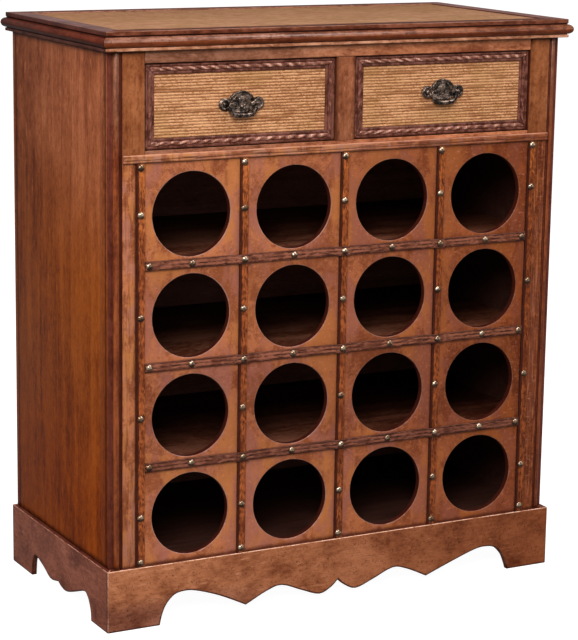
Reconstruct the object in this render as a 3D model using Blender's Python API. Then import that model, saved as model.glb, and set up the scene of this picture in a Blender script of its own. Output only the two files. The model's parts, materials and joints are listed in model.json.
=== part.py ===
"""Wine chest: a case with sixteen bottle holes, two drawers and a scalloped plinth.

The chest stands on the floor (z = 0) with its front facing -Y and its middle at x = y = 0.
All lengths are in metres. Sizes that can be set by themselves are the named values below;
everything else is worked out from them.
"""

import math

import bmesh
import bpy
from mathutils import Matrix, Vector

# Fits
SEAT_GAP = 0.0003            # between two pieces that touch
DRAWER_CLEARANCE = 0.0015    # around a drawer front, and between a drawer and its guides
PIN_CLEARANCE = 0.0004       # around a bail's pin in its post

# Case
HEIGHT = 0.864
BODY_WIDTH = 0.748
BODY_DEPTH = 0.363
SIDE_THICKNESS = 0.016
BACK_THICKNESS = 0.008
SHELF_THICKNESS = 0.012
SHELF_DROP = 0.004           # top of a shelf below the lowest point of its holes
BASE_THICKNESS = 0.018
DECK_THICKNESS = 0.0125
DRAWER_ZONE_HEIGHT = 0.140   # underside of the top to the board that the drawers run on

# Corner posts, measured inwards from the case's side and front faces
STILE_WIDTH = 0.0545
STILE_THICKNESS = 0.018
POST_LEG_WIDTH = 0.026
POST_DEPTH = 0.0315
POST_BEAD_RADIUS = 0.0045
POST_BEAD_INSET = 0.0126     # side face to the bead's centre
POST_QUIRK_END = 0.0204      # side face to where the flat stile starts
POST_QUIRK_DEPTH = 0.0026
POST_LEDGE_DEPTH = 0.0074    # front face to the front edge of the side

# Top
TOP_THICKNESS = 0.0275
TOP_OVERHANG = 0.014
TOP_MEMBER_WIDTH = 0.030     # flat upper face of a frame member
TOP_STEP = 0.0062            # overhang of the bead past the upper edge
TOP_BEAD_RADIUS = 0.0072
TOP_BEAD_DROP = 0.0079       # upper face to the top of the bead
TOP_QUIRK = 0.0013           # depth of the grooves above and below the bead
TOP_FILLET_HEIGHT = 0.0043
TOP_FILLET_OVERHANG = 0.0085
WEAVE_THICKNESS = 0.0035
TOP_WEAVE_RECESS = 0.0012

# Plinth
PLINTH_HEIGHT = 0.0925
PLINTH_THICKNESS = 0.008
PLINTH_PROUD = 0.006
LEFT_FOOT_WIDTH = 0.083      # seen from the front; the feet differ, as photographed
RIGHT_FOOT_WIDTH = 0.0735
LEFT_ARCH_CREST = 0.0469
RIGHT_ARCH_CREST = 0.0428
SIDE_FRONT_FOOT_WIDTH = 0.0615
SIDE_REAR_FOOT_WIDTH = 0.081
SIDE_FRONT_CREST = 0.038
SIDE_REAR_CREST = 0.0362
BACK_FOOT_WIDTH = 0.077
BACK_ARCH_HEIGHT = 0.040
APRON_STEPS = 4              # points from one knot of a scallop to the next

# Front rails
RAIL_THICKNESS = 0.020
TOP_RAIL_HEIGHT = 0.018
CENTRE_STILE_WIDTH = 0.031
BAND_HEIGHT = 0.012
BAND_THICKNESS = 0.0045
BAND_DROP = 0.0042           # deck's upper face to the top of the band

# Bottle panel and its straps
COLUMNS = 4
ROWS = 4
PANEL_THICKNESS = 0.010
HOLE_MARGIN = 0.012275       # between holes of neighbouring rows, half of what is left
HOLE_DROP = 0.003            # holes sit this far below the middle of their cells
HOLE_SEGMENTS = 48
STRAP_WIDTH = 0.014
STRAP_THICKNESS = 0.003
STRAP_RAMP = 0.006           # length over which a crossing strap rises
OUTER_STRAP_LAP = 0.0005     # stile's inner edge to the outer strap's edge
OUTER_STRAP_PULL = 0.002     # outer straps stand this far inside the even pitch, as photographed
NAIL_RADIUS = 0.0053
NAIL_DOME_HEIGHT = 0.0033
NAIL_SINK = 0.0004           # widest ring below the strap's face
NAIL_ROOT = 0.0015           # closed underside inside the strap
NAIL_EDGE_MARGIN = 0.0007
NAIL_DRIFT = 0.0008          # rise of the lower nails from one vertical strap to the next
NAIL_SEGMENTS = 10
NAIL_RINGS = 6

# Drawers
FRONT_THICKNESS = 0.014
TRIM_RECESS = 0.0025         # case front to the trim's flat band
TRIM_WIDTH = 0.0145
TRIM_BAND_WIDTH = 0.005
ROPE_RADIUS = 0.003
ROPE_CREST = 0.001           # rope above the flat band
TRIM_INNER_STEP = 0.0015     # inner edge below the flat band
WEAVE_RECESS = 0.0055        # case front to the woven face
DRAWER_SIDE_THICKNESS = 0.010
DRAWER_SIDE_HEIGHT = 0.085
DRAWER_BOTTOM_THICKNESS = 0.005
DRAWER_BOTTOM_RAISE = 0.008
DRAWER_BACK_ROOM = 0.0222    # shut drawer to the back of the case
GUIDE_HEIGHT = 0.020

# Pulls, measured from the middle of the pull plate
PLATE_THICKNESS = 0.0028
EAR_RADIUS = 0.0095
EAR_OFFSET = 0.0265
DOME_HEIGHT = 0.0190
DOME_HALF_WIDTH = 0.020
DOME_SHOULDER = 0.0075
PLATE_DROP = 0.0125
PLATE_BOTTOM_HALF_WIDTH = 0.019
PLATE_BOTTOM_SHOULDER = -0.0085
POST_OFFSET = 0.0149
POST_RADIUS = 0.0034
POST_LENGTH = 0.0068
POST_RAISE = 0.001           # post's axis above the middle of the plate
PIN_RADIUS = 0.0011
PIN_SETBACK = 0.0022         # pin's axis behind the tip of the post
BAIL_RADIUS = 0.0037
BAIL_ARM_RADIUS = 0.0019
BAIL_HALF_WIDTH = 0.0208
BAIL_DROP = 0.0172           # pin's axis to the middle of the grip
BAIL_STEPS = 4
LEFT_PULL_RAISE = -0.0012    # middle of the plate above the middle of its drawer
RIGHT_PULL_RAISE = 0.0036

# Derived planes
BODY_X = BODY_WIDTH / 2
BODY_Y = BODY_DEPTH / 2
FRONT = -BODY_Y
TOP_UNDERSIDE = HEIGHT - TOP_THICKNESS
INNER_X = BODY_X - SIDE_THICKNESS - SEAT_GAP
INNER_BACK = BODY_Y - BACK_THICKNESS - SEAT_GAP
OPENING_X = BODY_X - STILE_WIDTH
PANEL_BACK = FRONT + PANEL_THICKNESS
DRAWER_DECK_Z = TOP_UNDERSIDE - DRAWER_ZONE_HEIGHT
BAND_TOP = DRAWER_DECK_Z - BAND_DROP
BAND_BOTTOM = BAND_TOP - BAND_HEIGHT
ROW_PITCH = (BAND_BOTTOM - PLINTH_HEIGHT) / ROWS
OUTER_STRAP_X = OPENING_X + OUTER_STRAP_LAP + STRAP_WIDTH / 2
COLUMN_PITCH = 2 * (OUTER_STRAP_X + OUTER_STRAP_PULL) / COLUMNS
HOLE_RADIUS = min(ROW_PITCH, COLUMN_PITCH) / 2 - HOLE_MARGIN
TOP_RAIL_Z = TOP_UNDERSIDE - TOP_RAIL_HEIGHT

X_AXIS = Vector((1, 0, 0))
Y_AXIS = Vector((0, 1, 0))
Z_AXIS = Vector((0, 0, 1))

# Finishes: base colour, roughness, metallic
WOOD = ((0.19, 0.070, 0.030), 0.42, 0.0)
DARK_WOOD = ((0.075, 0.030, 0.022), 0.45, 0.0)
RAW_WOOD = ((0.30, 0.19, 0.105), 0.75, 0.0)
LEATHER = ((0.33, 0.125, 0.060), 0.50, 0.0)
STRAP_LEATHER = ((0.20, 0.075, 0.030), 0.50, 0.0)
WEAVE = ((0.48, 0.27, 0.11), 0.80, 0.0)
IRON = ((0.020, 0.018, 0.017), 0.38, 0.9)


def clear_scene() -> None:
    """Removes every object and the data that it leaves behind."""
    for item in list(bpy.data.objects):
        bpy.data.objects.remove(item, do_unlink=True)
    for collection in list(bpy.data.collections):
        bpy.data.collections.remove(collection)


def new_collection(name: str) -> bpy.types.Collection:
    """Returns a new collection linked to the scene."""
    collection = bpy.data.collections.new(name)
    bpy.context.scene.collection.children.link(collection)
    return collection


def frame_at(origin: Vector, x_axis: Vector, y_axis: Vector) -> Matrix:
    """Returns the placement whose local X and Y lie along the given axes."""
    matrix = Matrix((x_axis, y_axis, x_axis.cross(y_axis))).transposed().to_4x4()
    matrix.translation = origin
    return matrix


def finish_object(item: bpy.types.Object, finish: tuple) -> None:
    """Gives an object its own Principled BSDF material."""
    colour, roughness, metallic = finish
    material = bpy.data.materials.new(item.name)
    material.use_nodes = True
    shader = material.node_tree.nodes["Principled BSDF"]
    shader.inputs["Base Color"].default_value = (*colour, 1.0)
    shader.inputs["Roughness"].default_value = roughness
    shader.inputs["Metallic"].default_value = metallic
    item.data.materials.append(material)


class Builder:
    """Makes the sub-parts of the chest in one collection."""

    def __init__(self) -> None:
        self.parts = new_collection("wine_chest")
        self.cutters = new_collection("cutters")

    def add(self, name, mesh, placement, finish, mover=None) -> bpy.types.Object:
        """Links a mesh as a named sub-part, under its mover if it has one."""
        item = bpy.data.objects.new(name, mesh)
        self.parts.objects.link(item)
        item.matrix_world = placement
        finish_object(item, finish)
        if mover is not None:
            item.parent = mover
            item.matrix_parent_inverse = Matrix.Translation(-mover.location)
        return item

    def add_cutter(self, name, mesh, placement) -> bpy.types.Object:
        """Links a mesh that only serves a Boolean modifier."""
        item = bpy.data.objects.new(name, mesh)
        self.cutters.objects.link(item)
        item.matrix_world = placement
        item.hide_render = True
        item.display_type = "WIRE"
        return item

    def box(self, name, low, high, finish, mover=None) -> bpy.types.Object:
        """Makes a board from its lowest and highest corners."""
        low = Vector(low)
        high = Vector(high)
        work = bmesh.new()
        bmesh.ops.create_cube(work, size=1.0, matrix=Matrix.Diagonal((*(high - low), 1.0)))
        mesh = bpy.data.meshes.new(name)
        work.to_mesh(mesh)
        work.free()
        placement = Matrix.Translation((low + high) / 2)
        return self.add(name, mesh, placement, finish, mover)

    def outline_mesh(self, name, loops, thickness) -> bpy.types.Mesh:
        """Extrudes closed outlines; loops after the first one are holes."""
        curve = bpy.data.curves.new(name, "CURVE")
        curve.dimensions = "2D"
        curve.fill_mode = "BOTH"
        curve.extrude = thickness / 2
        for points in loops:
            spline = curve.splines.new("POLY")
            spline.points.add(len(points) - 1)
            for target, (x, y) in zip(spline.points, points):
                target.co = (x, y, 0.0, 1.0)
            spline.use_cyclic_u = True
        return self.curve_mesh(name, curve)

    def curve_mesh(self, name, curve) -> bpy.types.Mesh:
        """Turns a curve into a welded mesh and removes the curve."""
        holder = bpy.data.objects.new(name + "_curve", curve)
        self.cutters.objects.link(holder)
        graph = bpy.context.evaluated_depsgraph_get()
        mesh = bpy.data.meshes.new_from_object(holder.evaluated_get(graph))
        mesh.name = name
        bpy.data.objects.remove(holder, do_unlink=True)
        bpy.data.curves.remove(curve)
        work = bmesh.new()
        work.from_mesh(mesh)
        bmesh.ops.remove_doubles(work, verts=work.verts, dist=0.00001)
        bmesh.ops.recalc_face_normals(work, faces=work.faces)
        work.to_mesh(mesh)
        work.free()
        return mesh

    def mover(self, name, location) -> bpy.types.Object:
        """Adds the empty that carries a moving body."""
        empty = bpy.data.objects.new(name, None)
        empty.location = location
        self.parts.objects.link(empty)
        return empty


def arc(centre, radius, start, end, steps) -> list:
    """Returns points on an arc, angles in degrees."""
    points = []
    for index in range(steps + 1):
        angle = math.radians(start + (end - start) * index / steps)
        points.append((centre[0] + radius * math.cos(angle), centre[1] + radius * math.sin(angle)))
    return points


def smooth_run(knots, steps) -> list:
    """Returns points on a smooth curve through the knots, without the last one."""
    padded = [knots[0], *knots, knots[-1]]
    points = []
    for index in range(1, len(padded) - 2):
        before, start, end, after = (Vector(k) for k in padded[index - 1:index + 3])
        for step in range(steps):
            t = step / steps
            point = 0.5 * (2 * start + (end - before) * t
                           + (2 * before - 5 * start + 4 * end - after) * t ** 2
                           + (3 * start - before - 3 * end + after) * t ** 3)
            points.append(tuple(point))
    return points


def two_sided(right, left) -> list:
    """Returns a run followed by the mirror image of another, from right to left."""
    return right + [(-x, y) for x, y in reversed(left) if abs(x) > 1e-6]


def mirrored(half) -> list:
    """Returns a run followed by its mirror image, from right to left."""
    return two_sided(half, half)


def mitre(mesh, half_length, gap) -> None:
    """Cuts the ends of a member at 45 degrees, longer on the side of its local +X."""
    for vertex in mesh.vertices:
        reach = half_length + vertex.co.x - gap * math.sqrt(0.5)
        vertex.co.z = math.copysign(reach, vertex.co.z)


def build_sides(make: Builder) -> None:
    """Side panels, back and the boards across the case."""
    low_z = PLINTH_HEIGHT + SEAT_GAP
    high_z = TOP_UNDERSIDE - SEAT_GAP
    panel_front = FRONT + POST_DEPTH + SEAT_GAP
    for name, sign in (("left_side_panel", -1), ("right_side_panel", 1)):
        edges = sorted((sign * BODY_X, sign * (BODY_X - SIDE_THICKNESS)))
        make.box(name, (edges[0], panel_front, low_z), (edges[1], BODY_Y, high_z), WOOD)
    make.box(
        "back_panel",
        (-INNER_X, BODY_Y - BACK_THICKNESS, low_z),
        (INNER_X, BODY_Y, high_z),
        RAW_WOOD,
    )


def shelf_outline(front, back) -> list:
    """Plan of a board across the case, notched round the corner posts."""
    notch_x = OPENING_X - SEAT_GAP
    notch_y = FRONT + POST_DEPTH + SEAT_GAP
    return mirrored([(notch_x, front), (notch_x, notch_y), (INNER_X, notch_y), (INNER_X, back)])


def build_shelves(make: Builder) -> None:
    """Base inside the plinth, bottle shelves and the deck that the drawers run on."""
    front = PANEL_BACK + SEAT_GAP
    levels = [("base_board", shelf_top(0), BASE_THICKNESS, front, INNER_BACK)]
    for row in range(1, ROWS):
        levels.append((f"shelf_{row}", shelf_top(row), SHELF_THICKNESS, front, INNER_BACK))
    levels.append(("drawer_deck", DRAWER_DECK_Z, DECK_THICKNESS, FRONT, INNER_BACK))
    for name, top, thickness, low_y, high_y in levels:
        mesh = make.outline_mesh(name, [shelf_outline(low_y, high_y)], thickness)
        place = Matrix.Translation((0, 0, top - thickness / 2))
        make.add(name, mesh, place, WOOD if name == "drawer_deck" else RAW_WOOD)


def post_outline() -> list:
    """Plan of a corner post: x inwards from the side, y backwards from the front."""
    centre = (POST_BEAD_INSET, POST_BEAD_RADIUS)
    quirk_rise = (POST_QUIRK_DEPTH - POST_BEAD_RADIUS) / POST_BEAD_RADIUS
    start = math.degrees(math.asin(quirk_rise))
    ledge_rise = (POST_LEDGE_DEPTH - POST_BEAD_RADIUS) / POST_BEAD_RADIUS
    end = -180 - math.degrees(math.asin(ledge_rise))
    return [
        (STILE_WIDTH, 0),
        (STILE_WIDTH, STILE_THICKNESS),
        (POST_LEG_WIDTH, STILE_THICKNESS),
        (POST_LEG_WIDTH, POST_DEPTH),
        (0, POST_DEPTH),
        (0, POST_LEDGE_DEPTH),
        *reversed(arc(centre, POST_BEAD_RADIUS, start, end, 14)),
        (POST_QUIRK_END - POST_QUIRK_DEPTH / 4, POST_QUIRK_DEPTH),
        (POST_QUIRK_END, 0),
    ]


def build_posts(make: Builder) -> None:
    """Corner posts with their beads, from the plinth to the top."""
    low_z = PLINTH_HEIGHT + SEAT_GAP
    length = TOP_UNDERSIDE - SEAT_GAP - low_z
    for name, sign in (("corner_post_left", 1), ("corner_post_right", -1)):
        outline = [(sign * x, y) for x, y in post_outline()]
        mesh = make.outline_mesh(name, [outline], length)
        place = Matrix.Translation((-sign * BODY_X, FRONT, low_z + length / 2))
        make.add(name, mesh, place, WOOD)


def build_rails(make: Builder) -> None:
    """Rail over the drawers, stile between them and the leather band under them."""
    back = FRONT + RAIL_THICKNESS
    across = OPENING_X - SEAT_GAP
    make.box(
        "top_rail",
        (-across, FRONT, TOP_RAIL_Z),
        (across, back, TOP_UNDERSIDE - SEAT_GAP),
        WOOD,
    )
    make.box(
        "centre_stile",
        (-CENTRE_STILE_WIDTH / 2, FRONT, DRAWER_DECK_Z + SEAT_GAP),
        (CENTRE_STILE_WIDTH / 2, back, TOP_RAIL_Z - SEAT_GAP),
        WOOD,
    )
    band_x = BODY_X - POST_QUIRK_END
    crown = BAND_THICKNESS / 3
    base = BAND_THICKNESS - crown
    half = BAND_HEIGHT / 2
    outline = [(half, 0), (half, base), *band_crown(half, base, crown), (-half, base), (-half, 0)]
    mesh = make.outline_mesh("mid_rail", [outline], 2 * band_x)
    middle = Vector((0, FRONT - SEAT_GAP, (BAND_TOP + BAND_BOTTOM) / 2))
    make.add("mid_rail", mesh, frame_at(middle, Z_AXIS, -Y_AXIS), LEATHER)


def band_crown(half, base, crown) -> list:
    """Points of a band's rounded face between its two edges."""
    points = []
    for index in range(1, 8):
        angle = math.pi * index / 8
        points.append((half * math.cos(angle), base + crown * math.sin(angle)))
    return points


def hole_z(row) -> float:
    """Height of the middle of a row's holes; row 0 is the lowest."""
    return PLINTH_HEIGHT + ROW_PITCH * (row + 0.5) - HOLE_DROP


def shelf_top(row) -> float:
    """Upper face of the board under a row of holes."""
    return hole_z(row) - HOLE_RADIUS - SHELF_DROP


def column_x(column) -> float:
    """Place of a column's middle; column 0 is the left one."""
    return COLUMN_PITCH * (column - (COLUMNS - 1) / 2)


def strap_x(index) -> float:
    """Place of a vertical strap's middle; the outer ones stand a little inwards."""
    if index == 0:
        return -OUTER_STRAP_X
    if index == COLUMNS:
        return OUTER_STRAP_X
    return COLUMN_PITCH * (index - COLUMNS / 2)


def build_bottle_panel(make: Builder) -> None:
    """The leather-covered panel with its round holes."""
    across = OPENING_X - SEAT_GAP
    low_z = PLINTH_HEIGHT + SEAT_GAP
    high_z = DRAWER_DECK_Z - DECK_THICKNESS - SEAT_GAP
    loops = [[(-across, low_z), (across, low_z), (across, high_z), (-across, high_z)]]
    for row in range(ROWS):
        for column in range(COLUMNS):
            centre = (column_x(column), hole_z(row))
            loops.append(arc(centre, HOLE_RADIUS, 0, 360, HOLE_SEGMENTS)[:-1])
    mesh = make.outline_mesh("bottle_panel", loops, PANEL_THICKNESS)
    middle = Vector((0, FRONT + PANEL_THICKNESS / 2, 0))
    make.add("bottle_panel", mesh, frame_at(middle, X_AXIS, Z_AXIS), LEATHER)


def add_nails(make: Builder, strap, spots) -> None:
    """Joins domed nail heads, given by (x, y, z) of their seats, to a strap."""
    work = bmesh.new()
    height = NAIL_DOME_HEIGHT + NAIL_SINK
    size = Matrix.Diagonal((NAIL_RADIUS, NAIL_RADIUS, height, 1.0))
    for spot in spots:
        middle = Vector(spot) + Y_AXIS * NAIL_SINK
        dome = bmesh.ops.create_uvsphere(
            work,
            u_segments=NAIL_SEGMENTS,
            v_segments=NAIL_RINGS,
            radius=1.0,
            matrix=frame_at(middle, X_AXIS, Z_AXIS) @ size,
        )
        for vertex in dome["verts"]:
            behind = vertex.co.y - middle.y
            if behind > 0:
                vertex.co.y = middle.y + behind * NAIL_ROOT / height
    mesh = bpy.data.meshes.new(strap.name + "_nails")
    work.to_mesh(mesh)
    work.free()
    cutter = make.add_cutter(strap.name + "_nails", mesh, Matrix.Identity(4))
    join = strap.modifiers.new("nails", "BOOLEAN")
    join.operation = "UNION"
    join.solver = "EXACT"
    join.object = cutter


def build_vertical_straps(make: Builder) -> None:
    """Straps up the edges of every column, nailed at the rows and at both ends."""
    low_z = PLINTH_HEIGHT + SEAT_GAP
    high_z = BAND_BOTTOM - SEAT_GAP
    back = FRONT - SEAT_GAP
    front = back - STRAP_THICKNESS
    end_margin = NAIL_RADIUS + NAIL_EDGE_MARGIN
    heights = [low_z + end_margin]
    heights += [PLINTH_HEIGHT + ROW_PITCH * (row + 0.5) for row in range(ROWS)]
    for index in range(COLUMNS + 1):
        x = strap_x(index)
        strap = make.box(
            f"strap_vertical_{index + 1}",
            (x - STRAP_WIDTH / 2, front, low_z),
            (x + STRAP_WIDTH / 2, back, high_z),
            STRAP_LEATHER,
        )
        spots = [(x, front, z + NAIL_DRIFT * index) for z in heights]
        add_nails(make, strap, spots + [(x, front, high_z - end_margin)])


def horizontal_strap_outline(half_length) -> list:
    """Plan of a strap that rises over each middle vertical strap (x across, y forwards)."""
    rise = STRAP_THICKNESS + SEAT_GAP
    inner = STRAP_WIDTH / 2 + SEAT_GAP
    outer = inner + STRAP_RAMP
    back = [(-half_length, 0)]
    front = [(-half_length, STRAP_THICKNESS)]
    for index in range(1, COLUMNS):
        x = strap_x(index)
        steps = ((-outer, 0), (-inner, rise), (inner, rise), (outer, 0))
        back += [(x + offset, height) for offset, height in steps]
        front += [(x + offset, height + STRAP_THICKNESS) for offset, height in steps]
    back.append((half_length, 0))
    front.append((half_length, STRAP_THICKNESS))
    return back + front[::-1]


def build_horizontal_straps(make: Builder) -> None:
    """Straps between the rows, laid over the middle vertical straps."""
    half_length = OUTER_STRAP_X - STRAP_WIDTH / 2 - SEAT_GAP
    back = FRONT - SEAT_GAP
    face = back - STRAP_THICKNESS
    crossing = face - SEAT_GAP - STRAP_THICKNESS
    end_x = half_length - NAIL_RADIUS - NAIL_EDGE_MARGIN
    for index in range(1, ROWS):
        z = PLINTH_HEIGHT + ROW_PITCH * index
        name = f"strap_horizontal_{index}"
        mesh = make.outline_mesh(name, [horizontal_strap_outline(half_length)], STRAP_WIDTH)
        place = frame_at(Vector((0, back, z)), X_AXIS, -Y_AXIS)
        strap = make.add(name, mesh, place, STRAP_LEATHER)
        spots = [(-end_x, face, z), (end_x, face, z)]
        spots += [(column_x(column), face, z) for column in range(COLUMNS)]
        spots += [(strap_x(k), crossing, z) for k in range(1, COLUMNS)]
        add_nails(make, strap, spots)


def top_profile() -> list:
    """Section of a frame member: x outwards from the case, y up from its underside."""
    edge = TOP_OVERHANG - TOP_STEP
    bead_x = TOP_OVERHANG - TOP_BEAD_RADIUS
    bead_y = TOP_THICKNESS - TOP_BEAD_DROP - TOP_BEAD_RADIUS
    inner = edge - TOP_MEMBER_WIDTH
    return [
        (inner, 0),
        (TOP_FILLET_OVERHANG, 0),
        (TOP_FILLET_OVERHANG, TOP_FILLET_HEIGHT),
        (bead_x, TOP_FILLET_HEIGHT),
        *arc((bead_x, bead_y), TOP_BEAD_RADIUS, -90, 90, 12),
        (edge - TOP_QUIRK, TOP_THICKNESS - TOP_BEAD_DROP + TOP_QUIRK / 2),
        (edge, TOP_THICKNESS - TOP_BEAD_DROP + TOP_QUIRK * 1.5),
        (edge, TOP_THICKNESS),
        (inner, TOP_THICKNESS),
    ]


def build_top(make: Builder) -> None:
    """Mitred and moulded frame with the woven inset and the board under it."""
    members = (
        ("top_frame_front", -Y_AXIS, BODY_Y, BODY_X),
        ("top_frame_right", X_AXIS, BODY_X, BODY_Y),
        ("top_frame_back", Y_AXIS, BODY_Y, BODY_X),
        ("top_frame_left", -X_AXIS, BODY_X, BODY_Y),
    )
    for name, outwards, distance, half_length in members:
        mesh = make.outline_mesh(name, [top_profile()], half_length)
        mitre(mesh, half_length, SEAT_GAP)
        origin = outwards * distance + Z_AXIS * TOP_UNDERSIDE
        make.add(name, mesh, frame_at(origin, outwards, Z_AXIS), WOOD)
    inset = TOP_OVERHANG - TOP_STEP - TOP_MEMBER_WIDTH - SEAT_GAP
    x = BODY_X + inset
    y = BODY_Y + inset
    weave_top = HEIGHT - TOP_WEAVE_RECESS
    weave_low = weave_top - WEAVE_THICKNESS
    make.box("top_weave", (-x, -y, weave_low), (x, y, weave_top), WEAVE)
    make.box("top_board", (-x, -y, TOP_UNDERSIDE), (x, y, weave_low - SEAT_GAP), RAW_WOOD)


def arch_run(cusp, foot, crest, shares) -> list:
    """Knots of an arch: shares of the way from its cusp to its foot, and drops from its crest."""
    return [(cusp[0] + share * (foot - cusp[0]), crest - drop) for share, drop in shares]


def front_apron(foot_width, crest) -> list:
    """Half of the front board's lower edge, from the middle outwards."""
    foot = BODY_X + PLINTH_PROUD - foot_width
    lobe = [
        (0, 0.0275),
        (0.0115, 0.0170),
        (0.0315, 0.0089),
        (0.0605, 0.0185),
        (0.0960, 0.0322),
        (0.1220, 0.0266),
        (0.1565, 0.0103),
    ]
    shares = (
        (0.310, 0.0157),
        (0.585, 0.0023),
        (0.722, 0),
        (0.835, 0.0035),
        (0.928, 0.0165),
        (0.976, 0.0320),
    )
    arch = [lobe[-1], *arch_run(lobe[-1], foot, crest, shares), (foot, 0)]
    return smooth_run(lobe, APRON_STEPS) + smooth_run(arch, APRON_STEPS) + [(foot, 0)]


def side_front_apron() -> list:
    """Front half of a side board's lower edge, from the middle outwards."""
    foot = BODY_Y + PLINTH_PROUD - SIDE_FRONT_FOOT_WIDTH
    lobe = [(0, 0.0221), (0.010, 0.0180), (0.025, 0.0155), (0.041, 0.0180)]
    shares = (
        (0.270, 0.0126),
        (0.459, 0.0067),
        (0.718, 0),
        (0.835, 0.0038),
        (0.912, 0.0110),
        (0.982, 0.0240),
    )
    run = [*lobe, *arch_run(lobe[-1], foot, SIDE_FRONT_CREST, shares), (foot, 0)]
    return smooth_run(run, APRON_STEPS) + [(foot, 0)]


def side_rear_apron() -> list:
    """Rear half of a side board's lower edge, from the middle outwards."""
    foot = BODY_Y + PLINTH_PROUD - SIDE_REAR_FOOT_WIDTH
    lobe = [(0, 0.0221), (0.0144, 0.0187), (0.0265, 0.0171), (0.0386, 0.0190)]
    shares = (
        (0.237, 0.0100),
        (0.477, 0.0046),
        (0.728, 0),
        (0.867, 0.0027),
        (0.956, 0.0137),
    )
    run = [*lobe, *arch_run(lobe[-1], foot, SIDE_REAR_CREST, shares), (foot, 0)]
    return smooth_run(run, APRON_STEPS) + [(foot, 0)]


def back_apron() -> list:
    """Half of the back board's lower edge: plain, with square feet."""
    foot = BODY_X + PLINTH_PROUD - BACK_FOOT_WIDTH
    return [(foot - 0.012, BACK_ARCH_HEIGHT), (foot, BACK_ARCH_HEIGHT - 0.012), (foot, 0)]


def build_plinth(make: Builder) -> None:
    """Four mitred boards with scalloped lower edges that carry the case."""
    left = front_apron(LEFT_FOOT_WIDTH, LEFT_ARCH_CREST)
    right = front_apron(RIGHT_FOOT_WIDTH, RIGHT_ARCH_CREST)
    front = side_front_apron()
    rear = side_rear_apron()
    boards = (
        ("plinth_front", -Y_AXIS, BODY_Y, BODY_X, right, left),
        ("plinth_right", X_AXIS, BODY_X, BODY_Y, rear, front),
        ("plinth_back", Y_AXIS, BODY_Y, BODY_X, back_apron(), back_apron()),
        ("plinth_left", -X_AXIS, BODY_X, BODY_Y, front, rear),
    )
    for name, outwards, distance, half_body, right_apron, left_apron in boards:
        end = half_body + PLINTH_PROUD
        corner = [(end, 0), (end, PLINTH_HEIGHT)]
        outline = two_sided(right_apron + corner, left_apron + corner)
        mesh = make.outline_mesh(name, [outline], PLINTH_THICKNESS)
        for vertex in mesh.vertices:
            if abs(vertex.co.x) > end - 1e-5:
                inwards = PLINTH_THICKNESS / 2 - vertex.co.z
                reach = end - inwards - SEAT_GAP * math.sqrt(0.5)
                vertex.co.x = math.copysign(reach, vertex.co.x)
        origin = outwards * (distance + PLINTH_PROUD - PLINTH_THICKNESS / 2)
        make.add(name, mesh, frame_at(origin, Z_AXIS.cross(outwards), Z_AXIS), WOOD)


def build_guides(make: Builder) -> None:
    """Strips on the deck that keep the drawers straight."""
    low_z = DRAWER_DECK_Z + SEAT_GAP
    high_z = low_z + GUIDE_HEIGHT
    side_front = FRONT + POST_DEPTH + SEAT_GAP
    middle_front = FRONT + RAIL_THICKNESS + SEAT_GAP
    strips = (
        ("drawer_guide_left", -INNER_X, -OPENING_X, side_front),
        ("drawer_guide_centre", -CENTRE_STILE_WIDTH / 2, CENTRE_STILE_WIDTH / 2, middle_front),
        ("drawer_guide_right", OPENING_X, INNER_X, side_front),
    )
    for name, left, right, front in strips:
        make.box(name, (left, front, low_z), (right, INNER_BACK, high_z), RAW_WOOD)


def trim_profile(height) -> list:
    """Section of a drawer's trim: x outwards from its inner edge, y forwards."""
    rope_x = TRIM_WIDTH - TRIM_BAND_WIDTH - ROPE_RADIUS
    rope_y = height + ROPE_CREST - ROPE_RADIUS
    inner = height - TRIM_INNER_STEP
    return [
        (0, 0),
        (TRIM_WIDTH, 0),
        (TRIM_WIDTH, height),
        (rope_x + ROPE_RADIUS, height),
        *arc((rope_x, rope_y), ROPE_RADIUS, 0, 180, 8),
        (rope_x - ROPE_RADIUS, inner),
        (0, inner),
    ]


def build_drawer(make: Builder, side, sign) -> None:
    """One drawer: box, woven front with its trim, pull plate and bail."""
    inner_x = CENTRE_STILE_WIDTH / 2 + DRAWER_CLEARANCE
    outer_x = OPENING_X - DRAWER_CLEARANCE
    middle_x = sign * (inner_x + outer_x) / 2
    half_x = (outer_x - inner_x) / 2
    low_z = DRAWER_DECK_Z + DRAWER_CLEARANCE
    high_z = TOP_RAIL_Z - DRAWER_CLEARANCE
    middle_z = (low_z + high_z) / 2
    half_z = (high_z - low_z) / 2
    weave_front = FRONT + WEAVE_RECESS
    core_front = weave_front + WEAVE_THICKNESS + SEAT_GAP
    core_back = core_front + FRONT_THICKNESS
    name = f"drawer_{side}"
    mover = make.mover(name + "_mover", (middle_x, FRONT, middle_z))

    def board(part, low, high, finish) -> None:
        """Adds a board given by offsets from the drawer's middle in x."""
        corners = ((middle_x + low[0], *low[1:]), (middle_x + high[0], *high[1:]))
        make.box(f"{name}_{part}", *corners, finish, mover)

    board("front", (-half_x, core_front, low_z), (half_x, core_back, high_z), WOOD)
    weave_x = half_x - TRIM_WIDTH - SEAT_GAP
    weave_z = half_z - TRIM_WIDTH - SEAT_GAP
    board(
        "weave",
        (-weave_x, weave_front, middle_z - weave_z),
        (weave_x, weave_front + WEAVE_THICKNESS, middle_z + weave_z),
        WEAVE,
    )
    build_trim(make, name, Vector((middle_x, core_front - SEAT_GAP, middle_z)), half_x, half_z, mover)
    build_drawer_box(board, half_x, core_back + SEAT_GAP)
    raise_z = LEFT_PULL_RAISE if sign < 0 else RIGHT_PULL_RAISE
    plate_back = Vector((middle_x, weave_front - SEAT_GAP, middle_z + raise_z))
    build_pull(make, side, plate_back, mover)


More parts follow.
